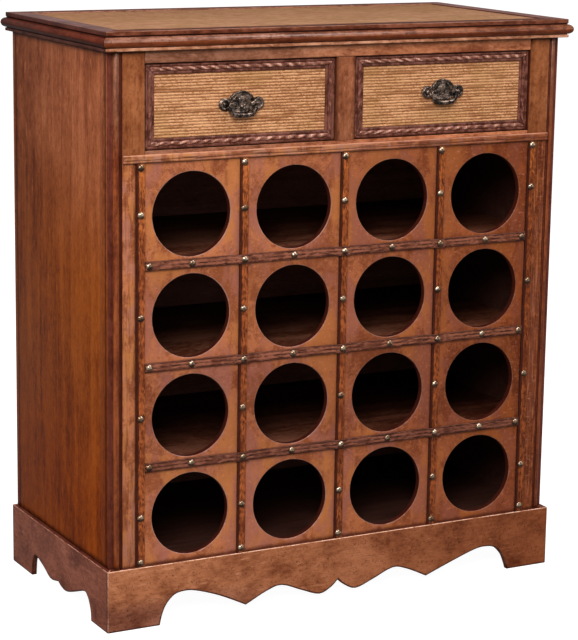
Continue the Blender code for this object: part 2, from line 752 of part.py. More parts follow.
def build_trim(make: Builder, name, centre, half_x, half_z, mover) -> None:
    """Four mitred mouldings round a drawer's woven panel."""
    height = centre.y - (FRONT + TRIM_RECESS)
    members = (
        ("trim_top", Z_AXIS, half_z, half_x),
        ("trim_bottom", -Z_AXIS, half_z, half_x),
        ("trim_left", -X_AXIS, half_x, half_z),
        ("trim_right", X_AXIS, half_x, half_z),
    )
    for part, outwards, distance, half_length in members:
        mesh = make.outline_mesh(part, [trim_profile(height)], half_length)
        mitre(mesh, half_length - TRIM_WIDTH, SEAT_GAP)
        origin = centre + outwards * (distance - TRIM_WIDTH)
        place = frame_at(origin, outwards, -Y_AXIS)
        make.add(f"{name}_{part}", mesh, place, DARK_WOOD, mover)


def build_drawer_box(board, half_x, front) -> None:
    """Sides, back and bottom behind a drawer's front."""
    low_z = DRAWER_DECK_Z + SEAT_GAP
    high_z = low_z + DRAWER_SIDE_HEIGHT
    back = INNER_BACK - DRAWER_BACK_ROOM
    inner = half_x - DRAWER_SIDE_THICKNESS
    board("side_left", (-half_x, front, low_z), (-inner, back, high_z), RAW_WOOD)
    board("side_right", (inner, front, low_z), (half_x, back, high_z), RAW_WOOD)
    between = inner - SEAT_GAP
    back_front = back - DRAWER_SIDE_THICKNESS
    board("back", (-between, back_front, low_z), (between, back, high_z), RAW_WOOD)
    bottom_z = low_z + DRAWER_BOTTOM_RAISE
    board(
        "bottom",
        (-between, front, bottom_z),
        (between, back_front - SEAT_GAP, bottom_z + DRAWER_BOTTOM_THICKNESS),
        RAW_WOOD,
    )


def arc_through(half_width, shoulder, crown, steps) -> list:
    """Points on the arc from the right shoulder over the crown to the left one."""
    sagitta = crown - shoulder
    radius = (half_width ** 2 + sagitta ** 2) / (2 * sagitta)
    reach = math.degrees(math.asin(half_width / radius))
    return arc((0, crown - radius), radius, 90 - reach, 90 + reach, steps)


def plate_outline() -> list:
    """Pull plate: a dome between two round ears, and a shallow bow below."""
    dome = arc_through(DOME_HALF_WIDTH, DOME_SHOULDER, DOME_HEIGHT, 10)
    bow = arc_through(PLATE_BOTTOM_HALF_WIDTH, -PLATE_BOTTOM_SHOULDER, PLATE_DROP, 8)
    upper = math.degrees(math.asin(DOME_SHOULDER / EAR_RADIUS))
    lower = math.degrees(math.asin(PLATE_BOTTOM_SHOULDER / EAR_RADIUS))
    right = arc((EAR_OFFSET, 0), EAR_RADIUS, -180 - lower, 180 - upper, 14)
    left = [(-x, y) for x, y in reversed(right)]
    bottom = [(-x, -y) for x, y in bow]
    return right[:-1] + dome + left[1:] + bottom


def build_pull(make: Builder, side, plate_back, mover) -> None:
    """Pull plate with its two posts, and the bail that swings in them."""
    name = f"pull_plate_{side}"
    mesh = make.outline_mesh(name, [plate_outline()], PLATE_THICKNESS)
    middle = plate_back - Y_AXIS * PLATE_THICKNESS / 2
    plate = make.add(name, mesh, frame_at(middle, X_AXIS, Z_AXIS), IRON, mover)
    plate_front = plate_back.y - PLATE_THICKNESS
    axis_z = plate_back.z + POST_RAISE
    tip = plate_front - POST_LENGTH
    axis = Vector((plate_back.x, tip + PIN_SETBACK + PIN_RADIUS, axis_z))
    add_posts(make, plate, axis, plate_front + PLATE_THICKNESS / 2, tip)
    build_bail(make, side, axis)


def add_posts(make: Builder, plate, axis, root, tip) -> None:
    """Joins the posts to a plate and bores them for the bail's pins."""
    posts = bmesh.new()
    bores = bmesh.new()
    for sign in (-1, 1):
        middle = Vector((axis.x + sign * POST_OFFSET, (root + tip) / 2, axis.z))
        bmesh.ops.create_cone(
            posts,
            cap_ends=True,
            segments=16,
            radius1=POST_RADIUS,
            radius2=POST_RADIUS,
            depth=root - tip,
            matrix=frame_at(middle, X_AXIS, Z_AXIS),
        )
        across = Vector((middle.x, axis.y, axis.z))
        bmesh.ops.create_cone(
            bores,
            cap_ends=True,
            segments=12,
            radius1=PIN_RADIUS + PIN_CLEARANCE,
            radius2=PIN_RADIUS + PIN_CLEARANCE,
            depth=POST_RADIUS * 4,
            matrix=frame_at(across, Y_AXIS, Z_AXIS),
        )
    for work, kind in ((posts, "UNION"), (bores, "DIFFERENCE")):
        label = f"{plate.name}_{kind.lower()}"
        mesh = bpy.data.meshes.new(label)
        work.to_mesh(mesh)
        work.free()
        step = plate.modifiers.new(label, "BOOLEAN")
        step.operation = kind
        step.solver = "EXACT"
        step.object = make.add_cutter(label, mesh, Matrix.Identity(4))


def bail_path() -> list:
    """Route of a bail with its radius at each point, from its left pin to its right one."""
    pin_end = POST_OFFSET - POST_RADIUS
    pin_start = POST_OFFSET + POST_RADIUS + SEAT_GAP
    knots = [
        (pin_start + BAIL_ARM_RADIUS, 0),
        (BAIL_HALF_WIDTH, -BAIL_DROP * 0.25),
        (BAIL_HALF_WIDTH * 0.93, -BAIL_DROP * 0.62),
        (BAIL_HALF_WIDTH * 0.62, -BAIL_DROP * 0.93),
        (0, -BAIL_DROP),
    ]
    run = smooth_run(knots, BAIL_STEPS) + [knots[-1]]
    half = [(pin_end, 0, PIN_RADIUS), (pin_start, 0, PIN_RADIUS)]
    for x, z in run:
        swell = min(1.0, -z / BAIL_DROP)
        half.append((x, z, BAIL_ARM_RADIUS + (BAIL_RADIUS - BAIL_ARM_RADIUS) * swell))
    left = [(-x, z, radius) for x, z, radius in half]
    return left + half[-2::-1]


def build_bail(make: Builder, side, axis) -> None:
    """A bail: a swelled grip hanging from two pins in the posts."""
    name = f"bail_{side}"
    curve = bpy.data.curves.new(name, "CURVE")
    curve.dimensions = "3D"
    curve.bevel_depth = BAIL_RADIUS
    curve.bevel_resolution = 2
    curve.use_fill_caps = True
    spline = curve.splines.new("POLY")
    path = bail_path()
    spline.points.add(len(path) - 1)
    for target, (x, z, radius) in zip(spline.points, path):
        target.co = (x, 0, z, 1.0)
        target.radius = radius / BAIL_RADIUS
    mesh = make.curve_mesh(name, curve)
    mesh.shade_smooth()
    make.add(name, mesh, Matrix.Translation(axis), IRON)


def main() -> None:
    """Builds the whole chest."""
    clear_scene()
    make = Builder()
    build_sides(make)
    build_shelves(make)
    build_posts(make)
    build_rails(make)
    build_bottle_panel(make)
    build_vertical_straps(make)
    build_horizontal_straps(make)
    build_top(make)
    build_plinth(make)
    build_guides(make)
    for side, sign in (("left", -1), ("right", 1)):
        build_drawer(make, side, sign)
    bpy.context.view_layer.update()


main()
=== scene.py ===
"""Wine chest: its wood, leather, weave, mouldings and pulls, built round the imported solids."""

import json
import logging
import math
from contextlib import contextmanager
from dataclasses import dataclass, field
from enum import Enum, IntEnum
from functools import partial
from typing import Callable, Iterable, Iterator, Sequence, Union

import bmesh
import bpy
from mathutils import Matrix, Vector, noise


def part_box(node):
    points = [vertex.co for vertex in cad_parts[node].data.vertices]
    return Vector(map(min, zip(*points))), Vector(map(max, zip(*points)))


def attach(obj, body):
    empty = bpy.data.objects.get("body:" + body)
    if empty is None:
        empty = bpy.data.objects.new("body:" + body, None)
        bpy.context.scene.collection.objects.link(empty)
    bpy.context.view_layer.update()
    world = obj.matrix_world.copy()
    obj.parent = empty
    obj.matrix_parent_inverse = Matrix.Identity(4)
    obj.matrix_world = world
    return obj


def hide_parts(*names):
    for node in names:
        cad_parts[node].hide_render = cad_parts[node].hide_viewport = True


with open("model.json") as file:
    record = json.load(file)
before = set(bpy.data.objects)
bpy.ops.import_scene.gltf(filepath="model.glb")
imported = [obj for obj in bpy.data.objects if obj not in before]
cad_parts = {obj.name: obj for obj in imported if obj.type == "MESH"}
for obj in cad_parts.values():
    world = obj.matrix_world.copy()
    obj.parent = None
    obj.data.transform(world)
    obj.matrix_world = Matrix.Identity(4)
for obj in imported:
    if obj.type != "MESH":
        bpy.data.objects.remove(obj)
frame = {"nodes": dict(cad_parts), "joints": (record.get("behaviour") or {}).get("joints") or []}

log = logging.getLogger("wine_chest")

Pair = tuple[float, float]
Point = tuple[float, float, float]
Colour = tuple[float, float, float]
Value = Union["Term", float, Point]
Mesh = bpy.types.Mesh
Face = bpy.types.MeshPolygon
Material = bpy.types.Material

CASE = "case"
SIDES = ("left", "right")
OUT = Vector((0, -1, 0))


@dataclass(frozen=True)
class Marks:
    """Places on the chest that several pieces share, in metres."""

    front: float = -0.1815
    plinth_top: float = 0.0925
    band_bottom: float = 0.6803
    top_underside: float = 0.8365
    cell_width: float = 0.1645
    cell_height: float = 0.14695
    reed_pitch: float = 0.00425
    seat: float = 0.0003


MARKS = Marks()


def tone(red: int, green: int, blue: int) -> Colour:
    """Returns a display colour, given from 0 to 255, as linear light."""
    shares = [value / 255 for value in (red, green, blue)]
    return tuple(s / 12.92 if s <= 0.04045 else ((s + 0.055) / 1.055) ** 2.4 for s in shares)


def scaled(colour: Colour, red: float, green: float, blue: float) -> Colour:
    """Returns a colour with each channel scaled."""
    return (colour[0] * red, colour[1] * green, colour[2] * blue)


def compass(count: int, extra: int = 0) -> list[Pair]:
    """Returns the cosine and sine of evenly spaced angles from 0, going on past the turn by extra."""
    angles = [math.tau * step / count for step in range(count + extra)]
    return [(math.cos(angle), math.sin(angle)) for angle in angles]


def link(item: bpy.types.Object) -> None:
    """Puts an object into the scene."""
    bpy.context.scene.collection.objects.link(item)


@contextmanager
def worked(mesh: Mesh, source: Mesh | None = None) -> Iterator[bmesh.types.BMesh]:
    """Opens a mesh for editing and writes it back.

    Args:
        mesh: mesh that is written.
        source: mesh that is read, where it is another one.

    Yields:
        The mesh in its editable form.
    """
    work = bmesh.new()
    work.from_mesh(mesh if source is None else source)
    yield work
    work.to_mesh(mesh)
    work.free()


class Run(Enum):
    """The direction that a grain or a cord follows."""

    ACROSS = 0
    DEPTH = 1
    UP = 2

    def stretch(self, along: float, over: float) -> Point:
        """Returns scales for X, Y and Z: one in this direction, one for the two others."""
        return tuple(along if axis == self.value else over for axis in range(3))


ACROSS, DEPTH, UP = Run


@dataclass(frozen=True)
class Term:
    """A socket of a node tree that can be used in expressions."""

    graph: "Graph"
    socket: bpy.types.NodeSocket

    def __add__(self, other: Value) -> "Term":
        """Adds on the right."""
        return self.graph.join("ADD", self, other)

    def __radd__(self, other: Value) -> "Term":
        """Adds on the left."""
        return self.graph.join("ADD", other, self)

    def __sub__(self, other: Value) -> "Term":
        """Takes away what stands on the right."""
        return self.graph.join("SUBTRACT", self, other)

    def __rsub__(self, other: Value) -> "Term":
        """Takes this away from what stands on the left."""
        return self.graph.join("SUBTRACT", other, self)

    def __mul__(self, other: Value) -> "Term":
        """Multiplies on the right."""
        return self.graph.join("MULTIPLY", self, other)

    def __rmul__(self, other: Value) -> "Term":
        """Multiplies on the left."""
        return self.graph.join("MULTIPLY", other, self)

    def __truediv__(self, other: Value) -> "Term":
        """Divides by what stands on the right."""
        return self.graph.join("DIVIDE", self, other)

    def __rtruediv__(self, other: Value) -> "Term":
        """Divides what stands on the left by this."""
        return self.graph.join("DIVIDE", other, self)


@dataclass(frozen=True)
class Edge:
    """A line along which a tint is laid, on both sides of the chest's middle: used for painted shade in gaps,
    creases and under overhangs, for painted highlights and for real grime on some edges.
    """

    run: Run
    place: float
    reach: float
    share: float = 0.8


@dataclass(frozen=True)
class Tint:
    """A tint that grows along one direction, on both halves of the chest or on one (-1 left, 1 right)."""

    run: Run
    start: float
    end: float
    colour: Colour
    half: int = 0
    sway: float = 0.2


class Graph:
    """The node tree of a material or of the surround, with the shader that it feeds."""

    def __init__(self, owner: "Material | bpy.types.World", shader: str = "Principled BSDF") -> None:
        """Turns on the nodes and finds the shader.

        Args:
            owner: material or world.
            shader: name of its shader node.
        """
        owner.use_nodes = True
        self.owner = owner
        self.tree = owner.node_tree
        self.shader = self.tree.nodes[shader]

    def node(self, kind: str, settings: dict, sockets: dict, output: str | int = 0) -> Term:
        """Adds a node.

        Args:
            kind: node type without its ShaderNode prefix.
            settings: properties of the node, or "stops" for a colour ramp.
            sockets: values or terms by the name or number of the socket.
            output: name or number of the output that is wanted.

        Returns:
            The output.
        """
        node = self.tree.nodes.new("ShaderNode" + kind)
        for key, value in settings.items():
            if key == "stops":
                self.set_stops(node.color_ramp, value)
            else:
                setattr(node, key, value)
        for key, value in sockets.items():
            target = node.inputs[key]
            if isinstance(value, Term):
                self.tree.links.new(value.socket, target)
            elif target.type == "RGBA":
                target.default_value = (*value, 1.0)
            else:
                target.default_value = value
        return Term(self, node.outputs[output])

    @staticmethod
    def set_stops(ramp: bpy.types.ColorRamp, stops: Sequence[tuple[float, Colour]]) -> None:
        """Fills a colour ramp.

        Args:
            ramp: ramp of a node.
            stops: place and colour of each stop, in rising order.
        """
        while len(ramp.elements) < len(stops):
            ramp.elements.new(1.0)
        for element, (place, colour) in zip(ramp.elements, stops):
            element.position = place
            element.color = (*colour, 1.0)

    def join(self, operation: str, left: Value, right: Value) -> Term:
        """Adds the maths node of an operator, for vectors where either value is one.

        Args:
            operation: name of the operation.
            left: first value.
            right: second value.

        Returns:
            The result.
        """
        pair = (left, right)
        if not any(isinstance(item, tuple) or isinstance(item, Term) and item.socket.type == "VECTOR"
                   for item in pair):
            return self.node("Math", {"operation": operation}, dict(enumerate(pair)))
        wide = ((item,) * 3 if isinstance(item, (int, float)) else item for item in pair)
        return self.node("VectorMath", {"operation": operation}, dict(enumerate(wide)))

    def maths(self, operation: str, value: Term) -> Term:
        """Returns a function of one number, such as its sine."""
        return self.node("Math", {"operation": operation}, {0: value})

    def feed(self, term: Term, socket: str) -> None:
        """Connects a value to the shader."""
        self.tree.links.new(term.socket, self.shader.inputs[socket])

    def place(self) -> Term:
        """Returns the resting place on the object, in metres."""
        return self.node("TexCoord", {}, {}, "Object")

    def axis(self, vector: Term, run: Run) -> Term:
        """Returns one coordinate of a vector."""
        return self.node("SeparateXYZ", {}, {0: vector}, run.value)

    def cloud(self, at: Term, scale: float, detail: float, rough: float, sway: float = 0.0) -> Term:
        """Returns soft noise from 0 to 1: its scale, finer layers, their weight and how far it bends."""
        sockets = {"Vector": at, "Scale": scale, "Detail": detail, "Roughness": rough, "Distortion": sway}
        return self.node("TexNoise", {}, sockets)

    def spots(self, at: Term, scale: float, detail: float, rough: float, *rise: float) -> Term:
        """Returns the high spots of a cloud, with the start and end of their rise and its top."""
        return self.rise(self.cloud(at, scale, detail, rough), *rise)

    def ramp(self, value: Term, *stops: tuple[float, Colour]) -> Term:
        """Returns the colour that a ramp gives to a value."""
        return self.node("ValToRGB", {"stops": stops}, {0: value}, "Color")

    def rise(self, value: Term, low: float, high: float, top: float = 1.0) -> Term:
        """Returns a value that climbs smoothly from 0 at low to top at high."""
        settings = {"interpolation_type": "SMOOTHSTEP", "clamp": True}
        return self.node("MapRange", settings, {0: value, 1: low, 2: high, 3: 0.0, 4: top})

    def blend(self, share: "Term | float", low: "Term | Colour", high: "Term | Colour",
              kind: str = "MIX") -> Term:
        """Returns a mix of two colours, by the weight of the second one."""
        settings = {"data_type": "RGBA", "blend_type": kind}
        return self.node("Mix", settings, {0: share, 6: low, 7: high}, 2)

    def shade_and_stain(self, colour: Term, at: Term, edges: Sequence[Edge], tint: Colour) -> Term:
        """Lays a tint into a colour along some edges: painted shade, painted highlights and real grime.

        Args:
            colour: colour that is tinted.
            at: resting place.
            edges: edges that hold the tint.
            tint: colour of the tint.

        Returns:
            The stained colour.
        """
        ragged = self.cloud(at, 90.0, 4.0, 0.6)
        for edge in edges:
            away = self.maths("ABSOLUTE", self.maths("ABSOLUTE", self.axis(at, edge.run)) - edge.place)
            clear = self.rise(away + ragged * (edge.reach * 0.9), edge.reach * 0.45, edge.reach * 1.45)
            colour = self.blend((1 - clear) * edge.share, colour, tint)
        return colour

    def tinted(self, colour: Term, at: Term, sway: Term, tints: Sequence[Tint]) -> Term:
        """Multiplies tints into a colour.

        Args:
            colour: colour that is tinted.
            at: resting place.
            sway: noise that bends the borders of the tints.
            tints: tints in their order.

        Returns:
            The tinted colour.
        """
        for tint in tints:
            share = self.rise(self.axis(at, tint.run) + (sway - 0.5) * tint.sway, tint.start, tint.end)
            if tint.half:
                share = share * self.rise(self.axis(at, ACROSS) * tint.half, 0.1, 0.2)
            colour = self.blend(share, colour, tint.colour, "MULTIPLY")
        return colour

    def bump(self, height: Term, depth: float, strength: float) -> None:
        """Feeds a relief of a depth in metres to the shader's normal."""
        sockets = {"Strength": strength, "Distance": depth, "Height": height}
        self.feed(self.node("Bump", {}, sockets), "Normal")

    def dress(self, colour: Term, rough: "Term | float", **constants: float) -> Material:
        """Connects the colour and roughness and sets the shader's own values.

        Args:
            colour: base colour.
            rough: roughness.
            **constants: values of other sockets, with underscores for blanks.

        Returns:
            The finished material.
        """
        self.feed(colour, "Base Color")
        if isinstance(rough, Term):
            self.feed(rough, "Roughness")
        else:
            constants["Roughness"] = rough
        for key, value in constants.items():
            self.shader.inputs[key.replace("_", " ")].default_value = value
        return self.owner


@dataclass(frozen=True)
class Finish:
    """A finish that is worked out in the chest's own coordinates."""

    name: str

    def start(self) -> tuple[Graph, Term]:
        """Returns a new material's nodes and the resting place."""
        graph = Graph(bpy.data.materials.new(self.name))
        return graph, graph.place()


@dataclass(frozen=True)
class StainedWood(Finish):
    """Stained and waxed wood with grain, mottling, dark specks and worn pale spots, painted shade along gaps
    and under overhangs, and grime on some edges.
    """

    base: Colour
    run: Run = UP
    clouds: float = 9.0
    streaks: float = 70.0
    cloud_share: float = 0.5
    contrast: float = 1.0
    specks: float = 0.4
    rubs: float = 0.5
    gloss: float = 0.42
    shine: float = 0.12
    dirt: tuple[Edge, ...] = ()
    tints: tuple[Tint, ...] = ()

    def material(self) -> Material:
        """Makes the material.

        Returns:
            The finished material.
        """
        graph, at = self.start()
        streak = graph.cloud(at * self.run.stretch(self.streaks / 16, self.streaks), 1.0, 6.0, 0.65, 0.5)
        fibre = graph.cloud(at * self.run.stretch(24.0, 560.0), 1.0, 3.0, 0.6)
        cloud = graph.cloud(at, self.clouds, 5.0, 0.62, 0.4)
        mottle = graph.cloud(at * self.run.stretch(95.0, 210.0), 1.0, 4.0, 0.7)
        mixed = streak * (0.7 - self.cloud_share * 0.7) + cloud * (self.cloud_share * 0.7) + mottle * 0.3
        half = 0.15 / self.contrast
        dark = scaled(self.base, 0.5, 0.38, 0.32)
        pale = scaled(self.base, 1.42, 1.62, 1.85)
        colour = graph.ramp(mixed, (0.5 - half, dark), (0.5, self.base), (0.5 + half, pale))
        shadow = scaled(dark, 0.3, 0.25, 0.25)
        speck = graph.spots(at, 360.0, 3.0, 0.6, 0.58, 0.68, self.specks)
        pore = graph.rise(fibre, 0.56, 0.74, self.specks * 0.8)
        colour = graph.blend(pore, graph.blend(speck, colour, shadow), shadow)
        rub_and_highlight = graph.spots(at * self.run.stretch(30.0, 120.0), 1.0, 4.0, 0.7, 0.58, 0.7, self.rubs)
        colour = graph.blend(rub_and_highlight, colour, scaled(pale, 1.2, 1.25, 1.35))
        # Painted shade along gaps and under overhangs, and grime on some edges.
        colour = graph.shade_and_stain(colour, at, self.dirt, shadow)
        colour = graph.tinted(colour, at, cloud, self.tints)
        graph.bump(fibre * 0.5 + streak * 0.3 + mottle * 0.2, 0.0006, 0.5)
        rough = self.gloss - 0.08 + cloud * 0.16 + speck * 0.2
        return graph.dress(colour, rough, Specular_IOR_Level=self.shine)


@dataclass(frozen=True)
class Leather(Finish):
    """Rubbed tan leather in mottled tones, with creases where it is folded, painted shade in the creases and
    along gaps, and painted highlights on the crease ridges and along some edges.
    """

    base: Colour
    gold: Colour
    veil: Colour
    tints: tuple[Tint, ...] = ()
    clouds: float = 13.0
    contrast: float = 1.0
    creases: Run | None = None
    crease_share: float = 0.5
    cells: bool = False
    gloss: float = 0.5
    shine: float = 0.15
    dirt: tuple[Edge, ...] = ()
    highlight_lines: tuple[Edge, ...] = ()

    def material(self) -> Material:
        """Makes the material.

        Returns:
            The finished material.
        """
        graph, at = self.start()
        cloud = graph.cloud(at, self.clouds, 5.0, 0.62, 0.6)
        blotch = graph.cloud(at + (1.3, 0.2, 2.9), 62.0, 4.0, 0.62, 0.8)
        grain = graph.cloud(at, 420.0, 3.0, 0.6)
        mixed = cloud * 0.45 + blotch * 0.35 + grain * 0.2
        half = 0.13 / self.contrast
        dark = scaled(self.base, 0.72, 0.62, 0.54)
        pale = scaled(self.base, 1.4, 1.5, 1.6)
        colour = graph.ramp(mixed, (0.5 - half, dark), (0.5, self.base), (0.5 + half, pale))
        tall = UP.stretch(self.clouds * 0.7, self.clouds * 1.7)
        for shift, patch, low, share in (((3.1, 1.7, 0.4), self.gold, 0.49, 0.85),
                                         ((7.7, 2.9, 5.1), self.veil, 0.48, 0.8)):
            patches = graph.cloud((at + shift) * tall, 1.0, 4.0, 0.6, 0.5)
            colour = graph.blend(graph.rise(patches, low, 0.6, share), colour, patch)
        if self.cells:
            spot = (at - (0.0, 0.0, MARKS.plinth_top)) / (MARKS.cell_width, 1.0, MARKS.cell_height)
            cell = graph.node("VectorMath", {"operation": "FLOOR"}, {0: spot})
            luck = graph.node("TexWhiteNoise", {"noise_dimensions": "3D"}, {"Vector": cell + 0.5})
            colour = graph.blend(luck * 0.22, colour, dark)
        colour = graph.tinted(colour, at, cloud, self.tints)
        shadow = scaled(dark, 0.35, 0.3, 0.3)
        colour = graph.blend(graph.spots(at, 240.0, 3.0, 0.6, 0.6, 0.72, 0.3), colour, shadow)
        glint = graph.spots(at + (1.0, 4.0, 2.0), 210.0, 4.0, 0.65, 0.55, 0.68, 0.4)
        colour = graph.blend(glint, colour, graph.blend(0.5, colour, scaled(self.base, 2.4, 2.9, 3.4)))
        scuff = graph.spots(at * (90.0, 90.0, 220.0), 1.0, 4.0, 0.7, 0.6, 0.72, 0.4)
        colour = graph.blend(scuff, colour, scaled(self.veil, 1.4, 1.45, 1.5))
        height = grain * 0.35 + blotch * 0.3
        # Creases: painted shade in the folds and a painted highlight on their ridges.
        if self.creases is not None:
            fold = graph.cloud(at * self.creases.stretch(20.0, 380.0), 1.0, 4.0, 0.62, 0.6)
            colour = graph.blend(graph.rise(fold, 0.5, 0.66, self.crease_share), colour, shadow)
            ridge = graph.rise(fold, 0.5, 0.34, self.crease_share * 0.7)
            colour = graph.blend(ridge, colour, scaled(pale, 1.2, 1.3, 1.4))
            height = height + fold * 1.2
        # Painted shade along gaps and creases.
        colour = graph.shade_and_stain(colour, at, self.dirt, shadow)
        # Painted highlight lines along edges.
        colour = graph.shade_and_stain(colour, at, self.highlight_lines, scaled(self.veil, 1.6, 1.7, 1.8))
        graph.bump(height, 0.0007, 0.6)
        return graph.dress(colour, self.gloss - 0.06 + cloud * 0.14, Specular_IOR_Level=self.shine)


@dataclass(frozen=True)
class StrapLeather(Finish):
    """Embossed strap leather: a faint twist, long flecks, painted shade along its edges and a painted
    highlight line along one of them.
    """

    run: Run
    base: Colour
    shaded_edge: float
    lit_edge: float
    far_shaded_edge: float = 0.02
    braid: float = 0.2
    ribs: float = 0.0
    rib_pitch: float = 0.0052
    outer_pull: float = 0.0
    twist: float = 0.011
    gloss: float = 0.42
    tints: tuple[Tint, ...] = ()

    def material(self) -> Material:
        """Makes the material.

        Returns:
            The finished material.
        """
        graph, at = self.start()
        over, pitch, start = ((ACROSS, MARKS.cell_width, 0.0) if self.run is UP else
                              (UP, MARKS.cell_height, MARKS.plinth_top))
        length = graph.axis(at, self.run)
        place = graph.axis(at, over)
        place = place + place * graph.rise(graph.maths("ABSOLUTE", place), 0.28, 0.3) * self.outer_pull
        row = (place - start) / pitch + 0.5
        width = (graph.maths("FRACT", row) - 0.5) * pitch
        sway = graph.cloud(at * self.run.stretch(26.0, 60.0), 1.0, 3.0, 0.6)
        phase = length / self.twist + graph.maths("ABSOLUTE", width) / 0.012 + sway * 3.0
        strand = graph.maths("SINE", phase * math.tau) * 0.5 + 0.5
        patch = graph.cloud(at, 26.0, 4.0, 0.62)
        fleck = graph.cloud(at * self.run.stretch(85.0, 420.0), 1.0, 4.0, 0.68, 0.8)
        relief = strand * graph.rise(patch, 0.42, 0.6, self.braid) + fleck * (1.1 - self.braid)
        if self.ribs:
            rib = graph.maths("COSINE", width * (math.tau / self.rib_pitch))
            relief = relief - rib * graph.rise(sway, 0.35, 0.6, self.ribs)
        dark = scaled(self.base, 0.4, 0.3, 0.26)
        pale = scaled(self.base, 2.7, 3.1, 3.4)
        colour = graph.ramp(relief, (0.34, dark), (0.45, self.base), (0.62, pale))
        red = graph.spots(at + (5.0, 1.0, 2.0), 34.0, 4.0, 0.6, 0.5, 0.64, 0.6)
        colour = graph.blend(red, colour, scaled(self.base, 0.8, 0.6, 0.42))
        colour = graph.tinted(colour, at, patch, self.tints)
        shadow = scaled(self.base, 0.24, 0.12, 0.1)
        # Painted shade along the strap's edges, then a painted highlight line along one edge.
        ragged = width + (fleck - 0.5) * 0.003
        for edge in (self.shaded_edge, self.far_shaded_edge):
            colour = graph.blend(graph.rise(ragged, edge * 0.62, edge, 0.92), colour, shadow)
        rubbed_and_lit = graph.rise(ragged, self.lit_edge * 0.72, self.lit_edge, 0.75)
        colour = graph.blend(rubbed_and_lit, colour, scaled(pale, 1.35, 1.5, 1.65))
        graph.bump(relief, 0.0012, 0.8)
        return graph.dress(colour, self.gloss - 0.06 + fleck * 0.16, Specular_IOR_Level=0.2)


@dataclass(frozen=True)
class Reed(Finish):
    """Woven cord: rows of round cords with light spots, painted highlights on their crowns and painted shade
    in the gaps between them.
    """

    rows: Run
    start_at: float
    base: Colour
    gap_share: float
    dash: float
    contrast: float
    cords: float = 0.15

    def material(self) -> Material:
        """Makes the material.

        Returns:
            The finished material.
        """
        graph, at = self.start()
        row = (graph.axis(at, self.rows) - self.start_at) / MARKS.reed_pitch
        phase = graph.maths("FRACT", row)
        number = graph.maths("FLOOR", row)
        along = graph.axis(at, ACROSS)
        spot = graph.node("CombineXYZ", {}, {0: along * self.dash, 1: number * 7.31, 2: phase * 1.6})
        dash = graph.cloud(spot, 1.0, 5.0, 0.72)
        cloud = graph.cloud(at, 18.0, 3.0, 0.5)
        crown = graph.maths("SINE", phase * math.pi)
        half = 0.17 / self.contrast
        gap = scaled(self.base, 0.34, 0.24, 0.16)
        deep = scaled(self.base, 0.6, 0.5, 0.38)
        pale = scaled(self.base, 1.5, 1.75, 1.95)
        # The crown term lightens the middle of each cord: painted highlight.
        mixed = dash * 0.7 + cloud * 0.1 + crown * 0.2
        middle = 0.528
        colour = graph.ramp(mixed, (middle - half, deep), (middle, self.base), (middle + half, pale))
        cord = graph.node("CombineXYZ", {}, {0: along * 16.0, 1: number * 5.3, 2: 0.0})
        tone_of_cord = graph.cloud(cord, 1.0, 3.0, 0.6)
        colour = graph.blend(graph.rise(tone_of_cord, 0.5, 0.66, self.cords), colour, deep)
        colour = graph.blend(graph.rise(tone_of_cord, 0.5, 0.34, self.cords), colour, pale)
        green = graph.spots(at + (2.0, 6.0, 1.0), 12.0, 2.0, 0.5, 0.48, 0.62, 0.35)
        colour = graph.blend(green, colour, scaled(self.base, 0.86, 0.98, 0.7))
        # Painted shade in the gaps between the cords.
        colour = graph.blend((1 - graph.rise(crown, 0.05, 0.7)) * self.gap_share, colour, gap)
        fleck = graph.spots(spot + (9.0, 2.0, 5.0), 1.9, 2.0, 0.5, 0.6, 0.7, 0.7)
        colour = graph.blend(fleck, colour, gap)
        graph.bump(crown * 0.6 + dash * 0.6, 0.0009, 0.7)
        return graph.dress(colour, 0.6 + dash * 0.2, Specular_IOR_Level=0.2)


@dataclass(frozen=True)
class OldMetal(Finish):
    """Cast or pressed metal, dark with paler worn patches spread by noise."""

    deep: Colour
    rubbed_and_lit: Colour
    gloss: float
    metallic: float
    grain: float = 300.0

    def material(self) -> Material:
        """Makes the material.

        Returns:
            The finished material.
        """
        graph, at = self.start()
        cast = graph.cloud(at, self.grain, 4.0, 0.65)
        cloud = graph.cloud(at, 120.0, 3.0, 0.6)
        colour = graph.blend(graph.rise(cloud * 0.6 + cast * 0.4, 0.44, 0.6), self.deep, self.rubbed_and_lit)
        graph.bump(cast, 0.0004, 0.35)
        return graph.dress(colour, self.gloss - 0.1 + cast * 0.2, Metallic=self.metallic)


